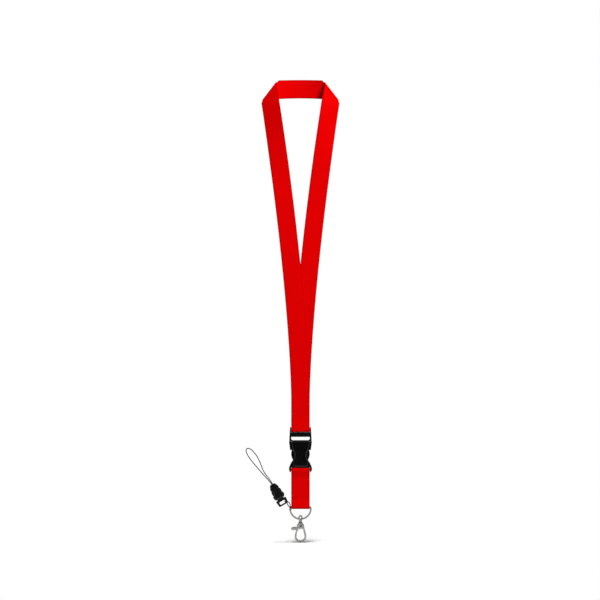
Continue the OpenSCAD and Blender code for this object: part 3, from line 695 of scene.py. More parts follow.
def studio_world():
    """White to the camera; for light, a white room that is dim in front, where the camera stands"""
    world = bpy.data.worlds.new("studio")
    bpy.context.scene.world = world
    world.use_nodes = True
    tree = world.node_tree
    tree.nodes.clear()
    way = add_node(tree, "TexCoord").outputs["Generated"]
    parts = add_node(tree, "SeparateXYZ", {"Vector": way})
    behind = add_node(tree, "MapRange", {
        "Value": parts.outputs["Y"], "From Min": -0.6, "From Max": 0.6, "To Min": 0.0, "To Max": 1.0},
        interpolation_type="SMOOTHSTEP")
    room = add_node(tree, "Mix", {
        "Factor": behind.outputs["Result"], "A": (0.05, 0.05, 0.05, 1.0), "B": (0.9, 0.9, 0.9, 1.0)},
        data_type="RGBA")
    side = add_node(tree, "Math", {0: parts.outputs["X"]}, operation="ABSOLUTE")
    # What shiny pieces mirror: bright rims in front, behind, at the sides and above
    shine = None
    for value, near, end, low, high in (
            (parts.outputs["Y"], -0.985, -0.85, 0.02, 0.35), (parts.outputs["Y"], 0.85, 0.97, 0.0, 0.65),
            (side.outputs[0], 0.6, 0.95, 0.0, 0.5), (parts.outputs["Z"], 0.4, 0.9, 0.0, 0.3)):
        part = add_node(tree, "MapRange", {
            "Value": value, "From Min": near, "From Max": end, "To Min": low, "To Max": high}).outputs["Result"]
        shine = add_node(tree, "Math", {0: shine, 1: part}).outputs[0] if shine else part
    path = add_node(tree, "LightPath")
    gloss = add_node(tree, "Math", {
        0: path.outputs["Is Glossy Ray"], 1: path.outputs["Is Transmission Ray"]}, operation="MAXIMUM")
    lit = add_node(tree, "Mix", {
        "Factor": gloss.outputs[0], "A": room.outputs["Result"], "B": shine}, data_type="RGBA")
    colour = add_node(tree, "Mix", {
        "Factor": path.outputs["Is Camera Ray"], "A": lit.outputs["Result"], "B": (1.0, 1.0, 1.0, 1.0)},
        data_type="RGBA")
    sky = add_node(tree, "Background", {"Color": colour.outputs["Result"]})
    add_node(tree, "OutputWorld", {"Surface": sky.outputs[0]})


# Places and widths of the lamps
KEY_PLACE, KEY_WIDTH = Vector((1.0, -1.2, 0.55)), 0.8
TOP_PLACE, TOP_WIDTH = Vector((-0.04, -0.15, 1.4)), 0.25
# How far the floor runs to the sides and behind, and where it starts in front
FLOOR_REACH, FLOOR_FRONT = 6.0, -0.25


def softbox(name, place, aim, width, power, floor, state):
    """Square lamp at a place, turned to an aim, which leaves out the floor or lights it alone"""
    lamp = bpy.data.lights.new(name, "AREA")
    lamp.size = width
    lamp.energy = power
    obj = bpy.data.objects.new(name, lamp)
    obj.location = place
    obj.rotation_euler = (aim - place).to_track_quat("-Z", "Y").to_euler()
    obj.visible_camera = False
    obj.visible_glossy = False
    bpy.context.scene.collection.objects.link(obj)
    group = bpy.data.collections.new(f"{name} light")
    group.objects.link(floor)
    group.collection_objects[0].light_linking.link_state = state
    obj.light_linking.receiver_collection = group


class LANYARD_OT_stage(Operator):
    """Make the camera, the floor, the world and the lamps"""
    bl_idname = "lanyard.stage"
    bl_label = "Stage"

    def execute(self, context):
        s = context.scene.lanyard_stage
        context.scene.view_settings.view_transform = "Standard"
        aim = Vector((s.aim_x, 0, s.aim_z))
        lens = bpy.data.cameras.new("camera")
        lens.lens = lens.sensor_width * s.distance / s.view
        camera = bpy.data.objects.new("camera", lens)
        camera.location = aim - Vector((0, s.distance, 0))
        camera.rotation_euler = (math.pi / 2, 0, 0)
        context.scene.collection.objects.link(camera)
        context.scene.camera = camera
        # The floor lies a hair below the hook's foot
        foot = CAD_BOX[0][2] - 0.05 * MM
        corners = [(x, y, foot) for x, y in oblong(-FLOOR_REACH, FLOOR_FRONT, FLOOR_REACH, FLOOR_REACH)]
        floor = piece("floor", (corners, [(0, 1, 2, 3)], None))
        floor.data.materials.append(material(matt_white_paper, s))
        studio_world()
        softbox("key", KEY_PLACE, aim, KEY_WIDTH, s.key, floor, "EXCLUDE")
        softbox("top", TOP_PLACE, Vector((0, 0, foot)), TOP_WIDTH, s.top, floor, "INCLUDE")
        return {"FINISHED"}


# Webbing

# Steps down a leg, along the neck strip, round a fold and round the buckle's bar
LEG_STEPS, NECK_STEPS, FOLD_STEPS, BAR_STEPS = 110, 24, 10, 16
# How far above and below itself a seam draws the webbing in
SEAM_REACH = 0.8 * MM


def mixed(first, second, corners, count=8):
    """Ribs between two ribs, without the ends; an edge that has a corner bends round it"""
    ribs = []
    for t in spaced(0, 1, count + 1)[1:-1]:
        rib = []
        for a, b, corner in zip(first, second, (*corners, None)):
            rib.append(a.lerp(corner, t).lerp(corner.lerp(b, t), t) if corner else a.lerp(b, t))
        ribs.append(tuple(rib))
    return ribs


def pinch(z, seam):
    """How far a seam draws the webbing in at a height"""
    return PINCH * math.exp(-((z - seam) / SEAM_REACH) ** 2)


def flat_rib(s, y, z, facing, rise=0.0):
    """Rib that lies straight across, and the way that its face looks in Y and Z"""
    return Vector((-s.width / 2, y, z)), Vector((s.width / 2, y, z)), Vector((0, facing, rise))


def neck_ribs(s):
    """Right leg, right fold, neck strip, left fold, left leg, loop round the buckle's bar, and tail"""
    half = s.width / 2
    layer = s.thickness + s.layer_gap
    fold_r = s.thickness / 2 + s.layer_gap
    bar = PIVOTS["buckle_swing"].z
    seam = bar + s.neck_seam
    loop_r = bar_loop_radius(s)
    fold_z = half - s.neck_arch
    lean = math.atan(1.5 * s.leg_spread / s.leg_drop)
    fold_angle = (1.5 * math.pi - lean - math.atan(2 * s.neck_arch / s.leg_spread)) / 2
    meet = fold_angle - math.pi / 2 + lean
    line = Vector((math.cos(fold_angle), 0, math.sin(fold_angle)))
    out = Vector((math.sin(fold_angle), 0, -math.cos(fold_angle)))
    leg_way = Vector((math.sin(lean), 0, math.cos(lean)))
    middle = Vector((s.leg_spread, 0, fold_z)) - leg_way * (s.fold_inset / math.sin(meet))
    low = middle - line * (half / math.sin(meet))
    top = middle + line * (half / math.sin(meet))

    def leg_rib(side, u):
        """Across a leg, at a share of the height from its fold to where the legs come together"""
        left = max(1 - u, 0)
        z = fold_z - s.leg_drop * u
        tilt = math.atan(1.5 * s.leg_spread * math.sqrt(left) / s.leg_drop)
        opening = s.leg_open * (1 - smooth((low.z - z) / s.open_length))
        turn = math.asin(opening / s.width)
        # Below its top tenth the leg comes to lie in its own layer
        settled = smooth((u - 0.1) / 0.3)
        y = -fold_r * (1 - settled) - (layer * settled - pinch(z, seam) if side < 0 else 0)
        centre = Vector((side * s.leg_spread * left ** 1.5, y - opening / 2, z))
        flat = math.cos(turn)
        reach = Vector((side * math.cos(tilt) * flat, math.sin(turn), -math.sin(tilt) * flat)) * half
        return centre + reach, centre - reach, Vector((side * math.sin(turn), -flat, 0))

    def fold_rib(side, a, cut=s.fold_round):
        """Across a fold, at an angle round it, with its corners cut back"""
        shift = out * fold_r * math.sin(a) + Vector((0, -fold_r * math.cos(a), 0))
        shift += line * (fold_r * a / math.tan(meet))
        face = out * math.sin(a) - Vector((0, math.cos(a), 0))
        rib = low + line * cut + shift, top - line * cut / 2 + shift, face
        return tuple(Vector((side * v.x, v.y, v.z)) for v in rib)

    def neck_rib(x):
        """Across the neck strip, which arches up and bows to the back"""
        slope = math.atan(2 * s.neck_arch * x / s.leg_spread ** 2)
        centre = Vector((x, fold_r, half - s.neck_arch * (x / s.leg_spread) ** 2))
        reach = Vector((math.sin(slope), 0, math.cos(slope))) * half
        bow = [Vector((0, s.neck_bow * (1 - (x / corner.x) ** 2), 0)) for corner in (low, top)]
        return centre - reach + bow[0], centre + reach + bow[1], Vector((0, 1, 0))

    def spread_y(h):
        """How far a layer stands off the middle at a height above the buckle's bar"""
        return layer + (loop_r - layer) * smooth(1 - h / s.spread)

    u_top = (fold_z - low.z - math.sin(lean) * half + s.fold_round) / s.leg_drop
    u_low = (fold_z - bar - s.spread) / s.leg_drop
    # More ribs lie close together at the seam
    us = spaced(u_top, u_low, LEG_STEPS)
    us += [(fold_z - seam + k * SEAM_REACH / 2) / s.leg_drop for k in range(-5, 6)]
    us = sorted(u for u in us if u <= u_low)
    neck_reach = top.x - 2.5 * MM

    def shoulder(side):
        """Ribs up a leg, round its fold and on to the neck strip"""
        ribs = [leg_rib(side, u) for u in reversed(us)]
        ribs += mixed(ribs[-1], fold_rib(side, 0), (fold_rib(side, 0, 0)[0], None))
        ribs += [fold_rib(side, a) for a in spaced(0, math.pi, FOLD_STEPS)]
        return ribs + mixed(ribs[-1], neck_rib(side * neck_reach), (None, fold_rib(side, math.pi, 0)[1]))

    neck = [neck_rib(x) for x in spaced(neck_reach, -neck_reach, NECK_STEPS)]
    ribs = shoulder(1) + neck + shoulder(-1)[::-1]
    heights = spaced(0, s.spread, 12)[1:-1]
    ribs += [flat_rib(s, -spread_y(h), bar + h, -1) for h in reversed(heights)]
    for a in spaced(0, math.pi, BAR_STEPS):
        y, z = -loop_r * math.cos(a), bar - loop_r * math.sin(a)
        ribs.append(flat_rib(s, y, z, -math.cos(a), -math.sin(a)))
    ribs += [flat_rib(s, spread_y(h), bar + h, 1) for h in heights]
    tail = spaced(s.spread, s.tail, 16)
    return ribs + [flat_rib(s, layer - pinch(bar + h, seam), bar + h, 1) for h in tail]


def bar_loop_radius(s):
    """Middle of the webbing round a bar of the buckle"""
    return bpy.context.scene.lanyard_buckle.bar / 2 + BAR_GAP + s.thickness / 2


def stitch_row(s, z, front, back):
    """Stitches on the front and back faces of sewn webbing"""
    pitch = s.width / (s.stitches + 0.5)
    shapes = []
    for i in range(s.stitches):
        x = (i - (s.stitches - 1) / 2) * pitch
        for y, out in ((front, -1), (back, 1)):
            path = [Vector((x + t * s.stitch / 2, y + out * MM * (0.06 - 0.4 * t ** 4), z))
                    for t in spaced(-1, 1, 12)]
            shapes.append(tube(path, s.thread / 2, sides=8, round_ends=True))
    return joined(shapes)


def sewn_strap(s, name, ribs, row, body, nodes, **rest):
    """A strap over ribs, and the row of stitches that closes it"""
    strap = piece(f"{name}_webbing", band(ribs, s.thickness))
    settle(strap, body, "red_webbing", nodes[0])
    thread = settle(piece(f"{name}_seam", row), body, "red_thread", nodes[1])


class LANYARD_OT_neck_webbing(Operator):
    """Make the red neck strap and its seam"""
    bl_idname = "lanyard.neck_webbing"
    bl_label = "Neck webbing"

    def execute(self, context):
        s = context.scene.lanyard_webbing
        face = s.thickness * 1.5 + s.layer_gap - PINCH
        row = stitch_row(s, PIVOTS["buckle_swing"].z + s.neck_seam, -face, face)
        sewn_strap(s, "neck", neck_ribs(s), row, "neck", ("neck_strap", "neck_seam_thread"))
        return {"FINISHED"}


def short_path(s):
    """The short strap in Y and Z: up the back, round the socket's bar, down the front, round the ring"""
    top, ring = PIVOTS["strap_swing"].z, PIVOTS["ring_swing"].z
    seam = ring + s.ring_seam
    inner = (s.thickness + s.layer_gap) / 2
    flap = inner + s.thickness + s.layer_gap
    bar_r = bar_loop_radius(s)
    ring_r = bpy.context.scene.lanyard_hook.ring_wire / 2 + RING_GAP + s.thickness / 2

    def ease(y0, z0, y1, z1):
        """From one face of a strap to another, without the end"""
        return [(y0 + (y1 - y0) * smooth(t), z0 + (z1 - z0) * t) for t in spaced(0, 1, 12)[:-1]]

    def straight(y, z0, z1, facing, count):
        """Along a face that the seam draws in, without the end"""
        return [(y - facing * pinch(z, seam), z) for z in spaced(z0, z1, count)[:-1]]

    path = straight(inner, seam - s.overlap / 2, top - s.turn, 0, 12)
    path += ease(inner, top - s.turn, bar_r, top)
    path += arc((0, top), bar_r, 0, 180, 18)[:-1]
    path += ease(-bar_r, top, -inner, top - s.turn)
    path += straight(-inner, top - s.turn, ring + s.turn + 3 * MM, -1, 16)
    path += straight(-inner, ring + s.turn + 3 * MM, ring + s.turn, -1, 8)
    path += ease(-inner, ring + s.turn, -ring_r, ring)
    path += arc((0, ring), ring_r, 180, 360, 18)[:-1]
    path += ease(ring_r, ring, flap, ring + s.turn)
    path += straight(flap, ring + s.turn, seam + s.overlap / 2, 1, 12)
    return path + [(flap, seam + s.overlap / 2)]


class LANYARD_OT_short_webbing(Operator):
    """Make the short red strap between the buckle and the D-ring, and its seam"""
    bl_idname = "lanyard.short_webbing"
    bl_label = "Short webbing"

    def execute(self, context):
        s = context.scene.lanyard_webbing
        path = [Vector(p) for p in short_path(s)]
        ribs = [flat_rib(s, p.x, p.y, way.y, -way.x) for p, way in zip(path, headings(path))]
        front = s.thickness + s.layer_gap / 2 - PINCH
        back = front + s.thickness + s.layer_gap
        row = stitch_row(s, PIVOTS["ring_swing"].z + s.ring_seam, -front, back)
        sewn_strap(s, "short", ribs, row, "strap", ("short_strap", "short_strap_thread"), rests_on=["socket"])
        return {"FINISHED"}


# Side release buckle, measured from the underside of the plug's base

# Half widths of the plug, its slot and the socket's cavity, half the depth of the latch, height of its ledge
Latch = namedtuple("Latch", "half slot cavity depth ledge")


def latch_sizes(b):
    """Sizes that the parts of a latch share"""
    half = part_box("plug_frame")[1].x
    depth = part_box("left_release_arm")[1].y
    return Latch(half, half - b.rail, half - 3.5 * MM, depth, -(2 * MOUTH_GAP + b.mouth))


def arm_corners(b):
    """Outline of the right release arm: strip, latch ledge, bulge and tip"""
    k = latch_sizes(b)
    inner, outer = k.cavity - 2.4 * MM, k.cavity - 0.8 * MM
    tip = k.ledge - b.window + 0.5 * MM
    bulge = spline([Vector((k.cavity + x * MM, k.ledge + z * MM)) for x, z in (
        (0.95, -0.5), (1.35, -2.2), (1.45, -4), (1.2, -6.2), (0.5, -8.4), (-0.25, -10))], 3)
    return [
        (inner, -KNUCKLE), (inner, tip + 1.4 * MM, 1 * MM), (k.cavity - 1.5 * MM, tip, 0.8 * MM),
        (k.cavity - 0.5 * MM, tip + 0.5 * MM, 0.8 * MM), *(tuple(p) for p in reversed(bulge)),
        (k.cavity + 0.9 * MM, k.ledge, 0.2 * MM), (outer, k.ledge, 0.6 * MM), (outer, -KNUCKLE)]


def knuckle_circle(b, grow=0.0):
    """Outline of the right arm's knuckle"""
    return circle((latch_sizes(b).cavity - KNUCKLE, -KNUCKLE), b.knuckle + grow)


def arm_solids(b, at, flip):
    """A release arm and its knuckle, placed and, for the left one, flipped"""
    depth = latch_sizes(b).depth
    outlines = [arm_corners(b), knuckle_circle(b)]
    return [slab(flipped(outline) if flip else outline, -depth, depth, 0.4 * MM, at) for outline in outlines]


def core_solids(b, at):
    """Guide tongue of a plug and its lugs, and the recesses in them that hold the arms' knuckles"""
    k = latch_sizes(b)
    wide = 3.2 * MM
    tongue = mirrored([(wide, -b.tongue, 0.9 * wide), (wide, 0.3 * MM)])
    lug = oblong(k.cavity - 3.4 * MM, -KNUCKLE, k.cavity - 0.3 * MM, 0.3 * MM)
    hole = knuckle_circle(b, 0.08 * MM)
    solids = [slab(tongue, -k.depth, k.depth, 0.4 * MM, at)]
    solids += [slab(outline, -k.depth, k.depth, 0.25 * MM, at) for outline in (lug, flipped(lug))]
    return solids, [slab(outline, -2 * k.depth, 2 * k.depth, at=at) for outline in (hole, flipped(hole))]


def cavity_cut(b, at):
    """The space inside a socket that takes the plug"""
    k = latch_sizes(b)
    deep = k.depth + 0.3 * MM
    box = mirrored([(k.cavity, k.ledge - b.window - 0.6 * MM, 0.6 * MM), (k.cavity, 3 * MM)])
    return slab(box, -deep, deep, at=at)


def window_arc(b, grow=0.0):
    """Concave edge of a socket's plates at the right window, from its lower end up"""
    k = latch_sizes(b)
    radius = (b.window ** 2 / 4 + b.bite ** 2) / (2 * b.bite)
    centre = (k.cavity - 0.2 * MM - b.bite + radius, k.ledge + MOUTH_GAP - b.window / 2)
    opening = math.degrees(math.asin(b.window / 2 / radius))
    return arc(centre, radius + grow, 180 + opening, 180 - opening, 16)


def raised_panels(outline, face, thick, lap, draw, at):
    """Panels on both faces of a socket, with soft wide edges, that reach into its body by a lap"""
    sides = (-thick, lap - face), (face - lap, thick)
    return [slab(outline, front, back, thick - face, at, draw) for front, back in sides]


def strap_bar(b, height, reach, at):
    """Round bar across a buckle that a strap loops round"""
    lying = at @ Matrix.Translation((0, 0, height)) @ Matrix.Rotation(math.pi / 2, 4, "Y")
    return lathe([(b.bar / 2, reach), (b.bar / 2, -reach)], lying)


def plug_origin():
    """Place of the underside of the plug's base"""
    return Matrix.Translation((0, 0, PIVOTS["left_press"].z + KNUCKLE))


class LANYARD_OT_plug(Operator):
    """Make the buckle's plug: ladder frame, ribbed bar, strap bar, base, tongue and lugs"""
    bl_idname = "lanyard.plug"
    bl_label = "Plug"

    def execute(self, context):
        b = context.scene.lanyard_buckle
        w = context.scene.lanyard_webbing
        half, slot = latch_sizes(b)[:2]
        at = plug_origin()
        bar_z = PIVOTS["buckle_swing"].z - at.translation.z
        top = bar_z + b.bar / 2 + 1.9 * MM
        rib_low = b.base + b.slot
        rib_top = bar_z - bar_loop_radius(w) - 0.5 * MM
        y = b.frame_depth / 2
        leg = slot - 0.3 * MM
        beside = w.width / 2 + 0.06 * MM
        rail = [(leg, 0.2 * MM), (half, 0.2 * MM), (half, b.base), (half - 0.6 * MM, bar_z),
                (half - 0.8 * MM, top - 0.6 * MM), (half - 1.1 * MM, top, 0.6 * MM), (beside, top, 0.4 * MM),
                (beside, rib_top - MM), (leg, rib_low + MM)]
        sill = mirrored([(half - 0.3 * MM, 0.1 * MM), (half - 0.4 * MM, rib_low + 0.3 * MM),
                         (leg - 0.01 * MM, rib_low + 0.3 * MM), (leg - 0.01 * MM, b.base, 2 * MM)])
        base = mirrored([(half, 0.0, 0.4 * MM), (half, b.base, 0.4 * MM)])
        rib_bar = mirrored([(slot + 0.5 * MM, z, 0.5 * MM) for z in (rib_low, rib_top)])
        solids = [slab(outline, -y, y, b.edge, at) for outline in (rail, flipped(rail))]
        solids.append(slab(sill, -y, y, 0.3 * MM, at))
        solids.append(slab(base, -y - 1.1 * MM, y + 1.1 * MM, 0.3 * MM, at))
        solids.append(slab(rib_bar, -y, y, 0.3 * MM, at))
        margin = 0.5 * MM
        for i in range(b.ribs):
            x = (i - (b.ribs - 1) / 2) * 2 * slot / b.ribs
            rib = oblong(x - margin, rib_low + margin, x + margin, rib_top - margin)
            solids.append(slab(rib, -y - 0.35 * MM, -y + 0.6 * MM, 0.25 * MM, at))
        solids.append(strap_bar(b, bar_z, slot + 0.5 * MM, at))
        core, cuts = core_solids(b, at)
        settle(fuse("plug", solids + core, cuts), "plug", "black_acetal", "plug_frame")
        return {"FINISHED"}


class LANYARD_OT_release_arms(Operator):
    """Make the sprung arms of both buckles"""
    bl_idname = "lanyard.release_arms"
    bl_label = "Release arms"

    def execute(self, context):
        b = context.scene.lanyard_buckle
        large, small = plug_origin(), small_latch(context)
        for name, at, flip, body, node in (
                ("left_arm", large, True, "left_arm", "left_release_arm"),
                ("right_arm", large, False, "right_arm", "right_release_arm"),
                ("small_left_arm_moulded", small, False, "tether_left_arm", "small_left_arm"),
                ("small_right_arm_moulded", small, True, "tether_right_arm", "small_right_arm")):
            settle(fuse(name, arm_solids(b, at, flip)), body, "black_acetal", node)
        return {"FINISHED"}


class LANYARD_OT_socket(Operator):
    """Make the buckle's socket with its windows, raised panels, ears and strap bar"""
    bl_idname = "lanyard.socket"
    bl_label = "Socket"

    def execute(self, context):
        b = context.scene.lanyard_buckle
        half, slot, cavity, _, ledge = latch_sizes(b)
        at = plug_origin()
        top = -MOUTH_GAP
        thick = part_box("socket_body")[1].y
        face = thick - b.panel
        waist = ledge + MOUTH_GAP - b.window
        slot_edge = waist - b.shoulder - 0.22 * MM
        bar_z = PIVOTS["strap_swing"].z - at.translation.z
        ear = bar_z - b.bar / 2 - 1.4 * MM
        bite = window_arc(b)
        body = mirrored([
            (slot, slot_edge, 0.8 * MM), (slot, ear, 0.4 * MM), (slot + 1.1 * MM, ear, 0.8 * MM),
            (half + 0.3 * MM, bar_z - 0.4 * MM, 2 * MM), (half + 0.3 * MM, slot_edge - 0.2 * MM, 3 * MM),
            (half - 1.7 * MM, waist - 3.1 * MM, 3 * MM), (cavity + 0.1 * MM, waist - 0.4 * MM, 0.7 * MM), *bite,
            (half - 0.85 * MM, bite[-1][1], 0.9 * MM), (half + 0.35 * MM, top, 0.35 * MM)])
        inner = window_arc(b, 0.5 * MM)
        panel = mirrored([
            (slot - 3 * MM, slot_edge + 1.1 * MM, 1.2 * MM), (slot - 2.2 * MM, slot_edge + 4 * MM, 2 * MM),
            (inner[0][0] + 0.3 * MM, inner[0][1] - 1.2 * MM, 1 * MM), *inner,
            (half - 3.3 * MM, top - 6 * MM, 3 * MM), (half - 2.3 * MM, top - 0.05 * MM, 0.8 * MM)])
        solids = [slab(body, -face, face, b.edge, at), *raised_panels(panel, face, thick, 0.6 * MM, 2.4, at)]
        solids.append(strap_bar(b, bar_z, slot + 0.6 * MM, at))
        settle(fuse("socket", solids, [cavity_cut(b, at)]), "socket", "black_acetal", "socket_body")
        return {"FINISHED"}


# Ring and hook

def ring_centre(h):
    """Middle of the D-ring's round side, and the radius of that side"""
    bar = PIVOTS["ring_swing"].z
    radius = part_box("d_ring")[1].x - h.ring_wire / 2
    return Vector((0, 0, bar - h.ring_bend)), radius


class LANYARD_OT_ring(Operator):
    """Make the D-ring"""
    bl_idname = "lanyard.ring"
    bl_label = "D-ring"

    def execute(self, context):
        h = context.scene.lanyard_hook
        centre, radius = ring_centre(h)
        straight = radius - h.ring_bend
        bar = centre.z + h.ring_bend
        route = [(x * straight, bar) for x in (-0.75, -0.4, 0.0, 0.4, 0.75)]
        route += arc((straight, centre.z), h.ring_bend, 90, 0, 6)
        route += arc((0, centre.z), radius, 0, -180, 48)[1:-1]
        route += arc((-straight, centre.z), h.ring_bend, 180, 90, 6)
        path = [Vector((x, 0, z)) for x, z in route]
        ring = piece("ring", tube(path, h.ring_wire / 2, sides=20, closed=True))
        settle(ring, "ring", "nickel_plate", "d_ring")
        return {"FINISHED"}


# Heights of the swivel's foot, of the collar's and the cage's tops, of the block's foot, and of the top of the
# hook's straight sides
Heights = namedtuple("Heights", "foot collar cage block side")


def hook_heights():
    """Heights that the parts of the hook share"""
    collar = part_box("hook_body")[1].z
    cage = collar - 1.9 * MM
    side = cage - 2.4 * MM
    return Heights(collar + 0.6 * MM, collar, cage, side - 2.3 * MM, side)


class LANYARD_OT_swivel(Operator):
    """Make the swivel eye with its foot, shank and riveted head"""
    bl_idname = "lanyard.swivel"
    bl_label = "Swivel eye"

    def execute(self, context):
        h = context.scene.lanyard_hook
        heights = hook_heights()
        foot = heights.foot
        radius = h.eye_hole + h.eye_wire / 2
        middle = foot + 0.4 * MM + h.eye_wire / 2 + radius
        across = Vector((math.sin(h.eye_turn), math.cos(h.eye_turn), 0))
        loop = [across * radius * math.cos(a) + Vector((0, 0, middle + radius * math.sin(a)))
                for a in around(40)]
        shank = h.shank / 2
        head = heights.cage - 0.3 * MM
        profile = [(0.7 * shank, foot + 1.7 * MM), (shank, foot + 1.3 * MM), (1.2 * shank, foot + 0.6 * MM)]
        profile += [(r * MM, foot + z * MM) for r, z in (
            (2.0, 0.4), (2.2, 0.25), (2.3, 0.0), (2.2, -0.25), (2.0, -0.4))]
        profile += [(shank, foot - 0.4 * MM), (shank, head)]
        profile += [(r * MM, head + z * MM) for r, z in (
            (1.5, 0), (1.7, -0.2), (1.7, -0.6), (1.4, -0.85), (0.7, -0.9))]
        swivel = fuse("swivel", [tube(loop, h.eye_wire / 2, sides=18, closed=True), lathe(profile)])
        settle(swivel, "swivel", "nickel_plate", "swivel_eye")
        return {"FINISHED"}


def loop_radius(h):
    """Radius of the hook's round foot, in the middle of its wire"""
    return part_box("hook_body")[1].x - h.wire / 2


def hook_half(h, z):
    """Half the hook's width outside at a height, along its leaning sides"""
    start = loop_radius(h) * math.cos(h.lean) - h.side * math.sin(h.lean)
    return start + (hook_heights().side - z) * math.tan(h.lean) + (h.wire / 2 - 0.1 * MM) / math.cos(h.lean)


def gate_reach(h):
    """Distance from the gate's pin to the outer corner of its tip"""
    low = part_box("hook_gate")[0].z
    return (Vector((-hook_half(h, low), 0, low)) - PIVOTS["gate_open"]).length


def across_pin():
    """Frame whose Z lies along the gate's pin"""
    return Matrix.Translation(PIVOTS["gate_open"]) @ Matrix.Rotation(math.pi / 2, 4, "X")


def pin_arc(radius, start, end, count):
    """Points on an arc round the gate's pin"""
    return arc(PIVOTS["gate_open"].xz, radius, start, end, count)


class LANYARD_OT_hook(Operator):
    """Make the hook's body with its collar, block and loop, the gate's rivet and its leaf spring"""
    bl_idname = "lanyard.hook"
    bl_label = "Hook"

    def execute(self, context):
        h = context.scene.lanyard_hook
        _, collar_top, cage, block_low, side_top = hook_heights()
        y = h.depth / 2
        radius = loop_radius(h)
        lean_x, lean_z = math.sin(h.lean), math.cos(h.lean)
        middle = side_top - h.side * lean_z - radius * lean_x
        pivot = PIVOTS["gate_open"]
        block = mirrored([(hook_half(h, block_low), block_low, 0.9 * MM),
                          (hook_half(h, cage) + 0.1 * MM, cage + 0.6 * MM, 1.2 * MM)])
        collar = [(h.collar - cut * MM, collar_top - drop * MM) for cut, drop in (
            (0.5, 0), (0.15, 0.15), (0, 0.5), (0, 1.4), (0.15, 1.75), (0.5, 1.95))]
        # The wire: down the right side, round the foot and up to the nose, a little thinner inside the block
        route = [Vector((radius * lean_z - h.side * t * lean_x, 0,
                         middle + radius * lean_x + h.side * t * lean_z)) for t in (1.03, 0.8, 0.6, 0.4, 0.2)]
        lean = math.degrees(h.lean)
        route += [Vector((x, 0, z)) for x, z in arc((0, middle), radius, lean, -180 - lean, 40)]
        route += [route[-1] + Vector((lean_x, 0, lean_z)) * d * MM for d in (0.8, 1.6, 2.6)]
        thick = [h.wire / 2 - (0.1 * MM if i < 4 else 0.0) for i in range(len(route))]
        solids = [slab(block, -y, y, 0.8 * MM), lathe(collar), tube(route, thick, sides=20)]
        # The cuts: pocket for the swivel's head, its slanted window, room for the gate's tip, bore, gate slot
        pocket = mirrored([(2.0 * MM, side_top, 0.5 * MM), (2.0 * MM, cage, 0.4 * MM)])
        window = [(-0.7 * MM, side_top), (1.2 * MM, side_top), (2.0 * MM, cage), (0.7 * MM, cage)]
        tip = gate_reach(h) + 0.12 * MM
        sweep = pin_arc(tip, 215, 258, 12) + pin_arc(tip - 3 * MM, 258, 215, 12)
        bore = h.shank / 2 + CLEARANCE
        gap = oblong(-8 * MM, block_low - 2 * MM, pivot.x + 2.2 * MM, side_top + 0.3 * MM)
        cuts = [slab(pocket, 0.4 * MM - y, y - 0.45 * MM), slab(window, -2 * y, 0), slab(sweep, -2 * y, 2 * y),
                lathe([(bore, collar_top + MM), (bore, cage - MM)]), slab(gap, -1.1 * MM, 1.1 * MM)]
        settle(fuse("hook", solids, cuts), "hook", "nickel_plate", "hook_body")
        half = h.pin / 2
        end = y + 0.3 * MM
        rivet = [(0.3 * half, end), (1.0 * half, end - 0.06 * MM), (1.5 * half, end - 0.22 * MM),
                 (1.5 * half, y - 0.05 * MM), (half, y - 0.05 * MM)]
        rivet += [(wide, -drop) for wide, drop in reversed(rivet)]
        settle(piece("gate_rivet", lathe(rivet, across_pin(), 24)), "hook", "nickel_plate", "gate_pin")
        x = pivot.x + 2 * MM
        press = block_low - 2.2 * MM
        bend = spline([Vector(p) for p in (
            (x, side_top - 0.1 * MM), (x, pivot.z), (x - 0.7 * MM, block_low - 0.6 * MM),
            (-hook_half(h, press) + 2.15 * MM, press))], 6)
        thin = Vector((0.13 * MM, 0))
        leaf = [p + thin for p in bend] + [p - thin for p in reversed(bend)]
        spring = piece("leaf_spring", slab([tuple(p) for p in reversed(leaf)], -0.8 * MM, 0.8 * MM))
        settle(spring, None, "nickel_plate", "gate_spring")
        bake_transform(spring)
        return {"FINISHED"}


